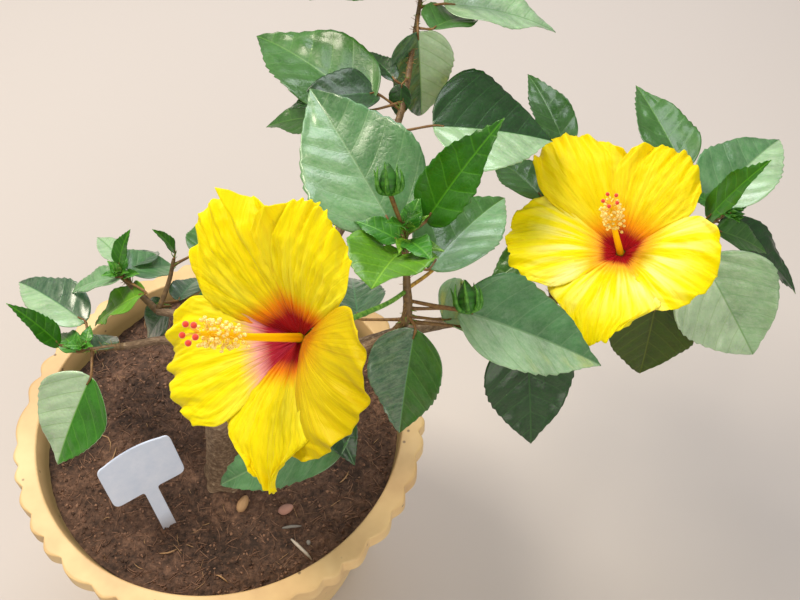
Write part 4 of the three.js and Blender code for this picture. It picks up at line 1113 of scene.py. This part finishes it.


# Petal skin: silky lemon yellow that turns orange and deep red at the throat, with fine radial veins.
# Each has the colours of the throat's eye, the ring round it, the petal and its pale streaks, how strong the
# streaks are, and how far out the first three colours lie. The streaks are partly the petal's own paler
# streaks and partly painted highlight
petal_finishes = []
for name, eye, halo, body, pale, paleness, reach in [
    ("lemon", "A00818", "EE7C00", "F4DC00", "FFF440", 0.5, (0.155, 0.225, 0.34)),
    ("blush", "A81434", "EE9CA0", "F6E000", "FFF450", 0.4, (0.18, 0.26, 0.38)),
    ("shaded", "C87800", "D8A800", "D2B800", "E4CC10", 0.3, (0.17, 0.27, 0.48)),
    # Painted highlight: pale glare over the lower petals of the right flower
    ("glare_washed", "A00818", "FFB030", "F8E400", "FFFAA0", 0.8, (0.13, 0.2, 0.34)),
    ("golden", "A00818", "F09000", "F2D400", "FFEE38", 0.5, (0.14, 0.22, 0.4)),
]:
    finish, shader, add = new_finish(
        "petal_" + name, Roughness=0.5, IOR=1.4, Specular_IOR_Level=0.2, Sheen_Weight=0.03,
        Sheen_Roughness=0.4, Subsurface_Weight=0.3, Subsurface_Radius=(0.004, 0.003, 0.0008),
        Subsurface_Scale=1)
    grain = add("Attribute", attribute_name="grain").outputs["Vector"]
    place = add("SeparateXYZ", grain)
    phase = place.outputs["Z"]
    # Veins fan out from the throat, so their angle is what counts
    fan = add("Math", place.outputs["Y"], place, operation="ARCTAN2")
    fan_place = add("CombineXYZ", fan, None, phase)
    veins = add("TexNoise", fan_place, Scale=26, Detail=4, Roughness=0.6)
    shifted = add("MULTIPLY_ADD", veins, 16, -8)
    far = add("ADD", place, shifted)
    share = add("DIVIDE", far, PETAL_LENGTH)
    rings = add("ValToRGB", share, stops=[*zip(reach, (eye, halo, body)), (0.8, body)])
    # Pale streaks, partly the petal's own and partly painted highlight, run out along the petal, from outside
    # the red eye to short of its edge
    swept = add("CombineXYZ", fan, place, phase)
    streak_place = add("Mapping", swept, Scale=(1, 0.002, 1))
    blotch = add("TexNoise", streak_place, Scale=8, Detail=2)
    light = add("MapRange", blotch, 0.42, 0.62, 0, paleness)
    away = add("MapRange", place, 20, 32)
    fade = add("MapRange", place, 66, 36)
    band = add("MULTIPLY", away, fade)
    pale_share = add("MULTIPLY", light, band)
    glare_washed = add("Mix", pale_share, rings, linear(pale))
    # The veins darken the colour, partly their own tone and partly painted shade along the bump's relief
    line = add("MapRange", veins, 0.46, 0.68, 0, 0.4)
    lined = add("Mix", line, glare_washed, linear("F0D000"), blend_type="MULTIPLY")
    bump = add("Bump", Strength=0.9, Distance=0.001, Height=veins)
    fill(shader, Base_Color=lined, Normal=bump)
    petal_finishes.append(finish)

# Stamens: a waxy yellow column, thin threads, cream pollen sacs like fine crumbs, and velvety red stigmas
column_wax = new_finish("column_wax", "FFC800", Roughness=0.4, Subsurface_Weight=0.2,
                        Subsurface_Radius=(0.003, 0.002, 0.0005))[0]
filament = new_finish("filament", "FFD23A", Roughness=0.45)[0]
pollen, shader, add = new_finish("pollen", Roughness=0.9)
space = add("TexCoord").outputs["Object"]
dusting = add("TexNoise", space, Scale=1500, Detail=2)
powder = add("ValToRGB", dusting, stops=[(0.35, "F0BC38"), (0.6, "FFEFA0")])
fill(shader, Base_Color=powder)
stigma_velvet = new_finish("stigma_velvet", "E03A18", Roughness=0.85, Sheen_Weight=0.6,
                           Sheen_Roughness=0.5)[0]
calyx_green = stem_finish("calyx_green", "3F7A24", "7FB04A")
bloom_finishes = [column_wax, filament, pollen, stigma_velvet, calyx_green]

for name, bloom in BLOOMS.items():
    basis = np.stack(axes_of(*bloom["faces"]))

    def in_bloom(points):
        """Points of the bloom's own frame, +Z out of the throat, put in the part's frame."""
        return np.asarray(points, float) @ basis + bloom["throat"]

    petals = [petal_part(petal, k, in_bloom) for k, petal in enumerate(bloom["petals"])]
    add_piece(name.replace("bloom", "petals"), petals, petal_finishes, "petal", name)
    tip = np.array(bloom["column_tip"], float)
    base = np.array([0, 0, -17.0])
    column = on_curve([base, base + (tip - base) * 0.55 - (0, 1, 0), tip], np.linspace(0, 1, 101))
    parts = [tube(in_bloom(column), np.linspace(2.6, 1.3, len(column)), 20)]
    anther_random = np.random.default_rng(17)
    for k in range(ANTHERS):
        root = column[round(100 * (0.55 + 0.4 * k / ANTHERS))]
        reach = anther_random.uniform(4.5, 8.5)
        rise = anther_random.uniform(0.5, 4)
        way = toward(GOLDEN_ANGLE * k, 0)
        end = root + reach * way + (0, 0, rise)
        knee = root + 0.6 * reach * way + (0, 0, 0.2 * rise)
        parts.append(limb(in_bloom([root, knee, end]), (0.28, 0.2), 5, 5, look=THREAD))
        parts.append(ball(in_bloom(end), anther_random.uniform(0.95, 1.35), POLLEN, flat=0.75))
    for k in range(STIGMAS):
        way = toward(360 * (k + 0.25) / STIGMAS, 0)
        end = tip + 5 * way + (0, 0, 6)
        arm = [tip - (0, 0, 1), tip + 2.4 * way + (0, 0, 3), end]
        parts.append(limb(in_bloom(arm), (0.6, 0.5), 8, 8, look=THREAD))
        parts.append(ball(in_bloom(end), bloom["pad"], VELVET, rings=8, sides=16))
    parts.append(limb([*bloom["stem"], in_bloom((0, 0, -30))], (1.3, 1.9), 14, 60, look=CALYX))
    cup = np.linspace(0, 1, 24)
    cup_radii = 1.9 + 4.6 * np.sin(np.pi / 2 * cup) ** 0.8
    parts.append(tube(in_bloom(stacked(0, 0, -34 + 16.5 * cup)), cup_radii, 30, CALYX,
                      relief=lambda along, turn, reach: -0.07 * reach * np.abs(np.sin(2.5 * turn))))
    parts += [sepal_part(360 / SEPALS * k + 30, in_bloom) for k in range(SEPALS)]
    for k in range(BRACTS):
        way = toward(360 * k / BRACTS, 0)
        bract = [(0, 0, -32), way * 8 + (0, 0, -29), way * 14 + (0, 0, -22)]
        parts.append(limb(in_bloom(bract), (1.0, 0.25), 6, 10, look=CALYX))
    add_piece(name.replace("bloom", "stamens"), parts, bloom_finishes, "petal")
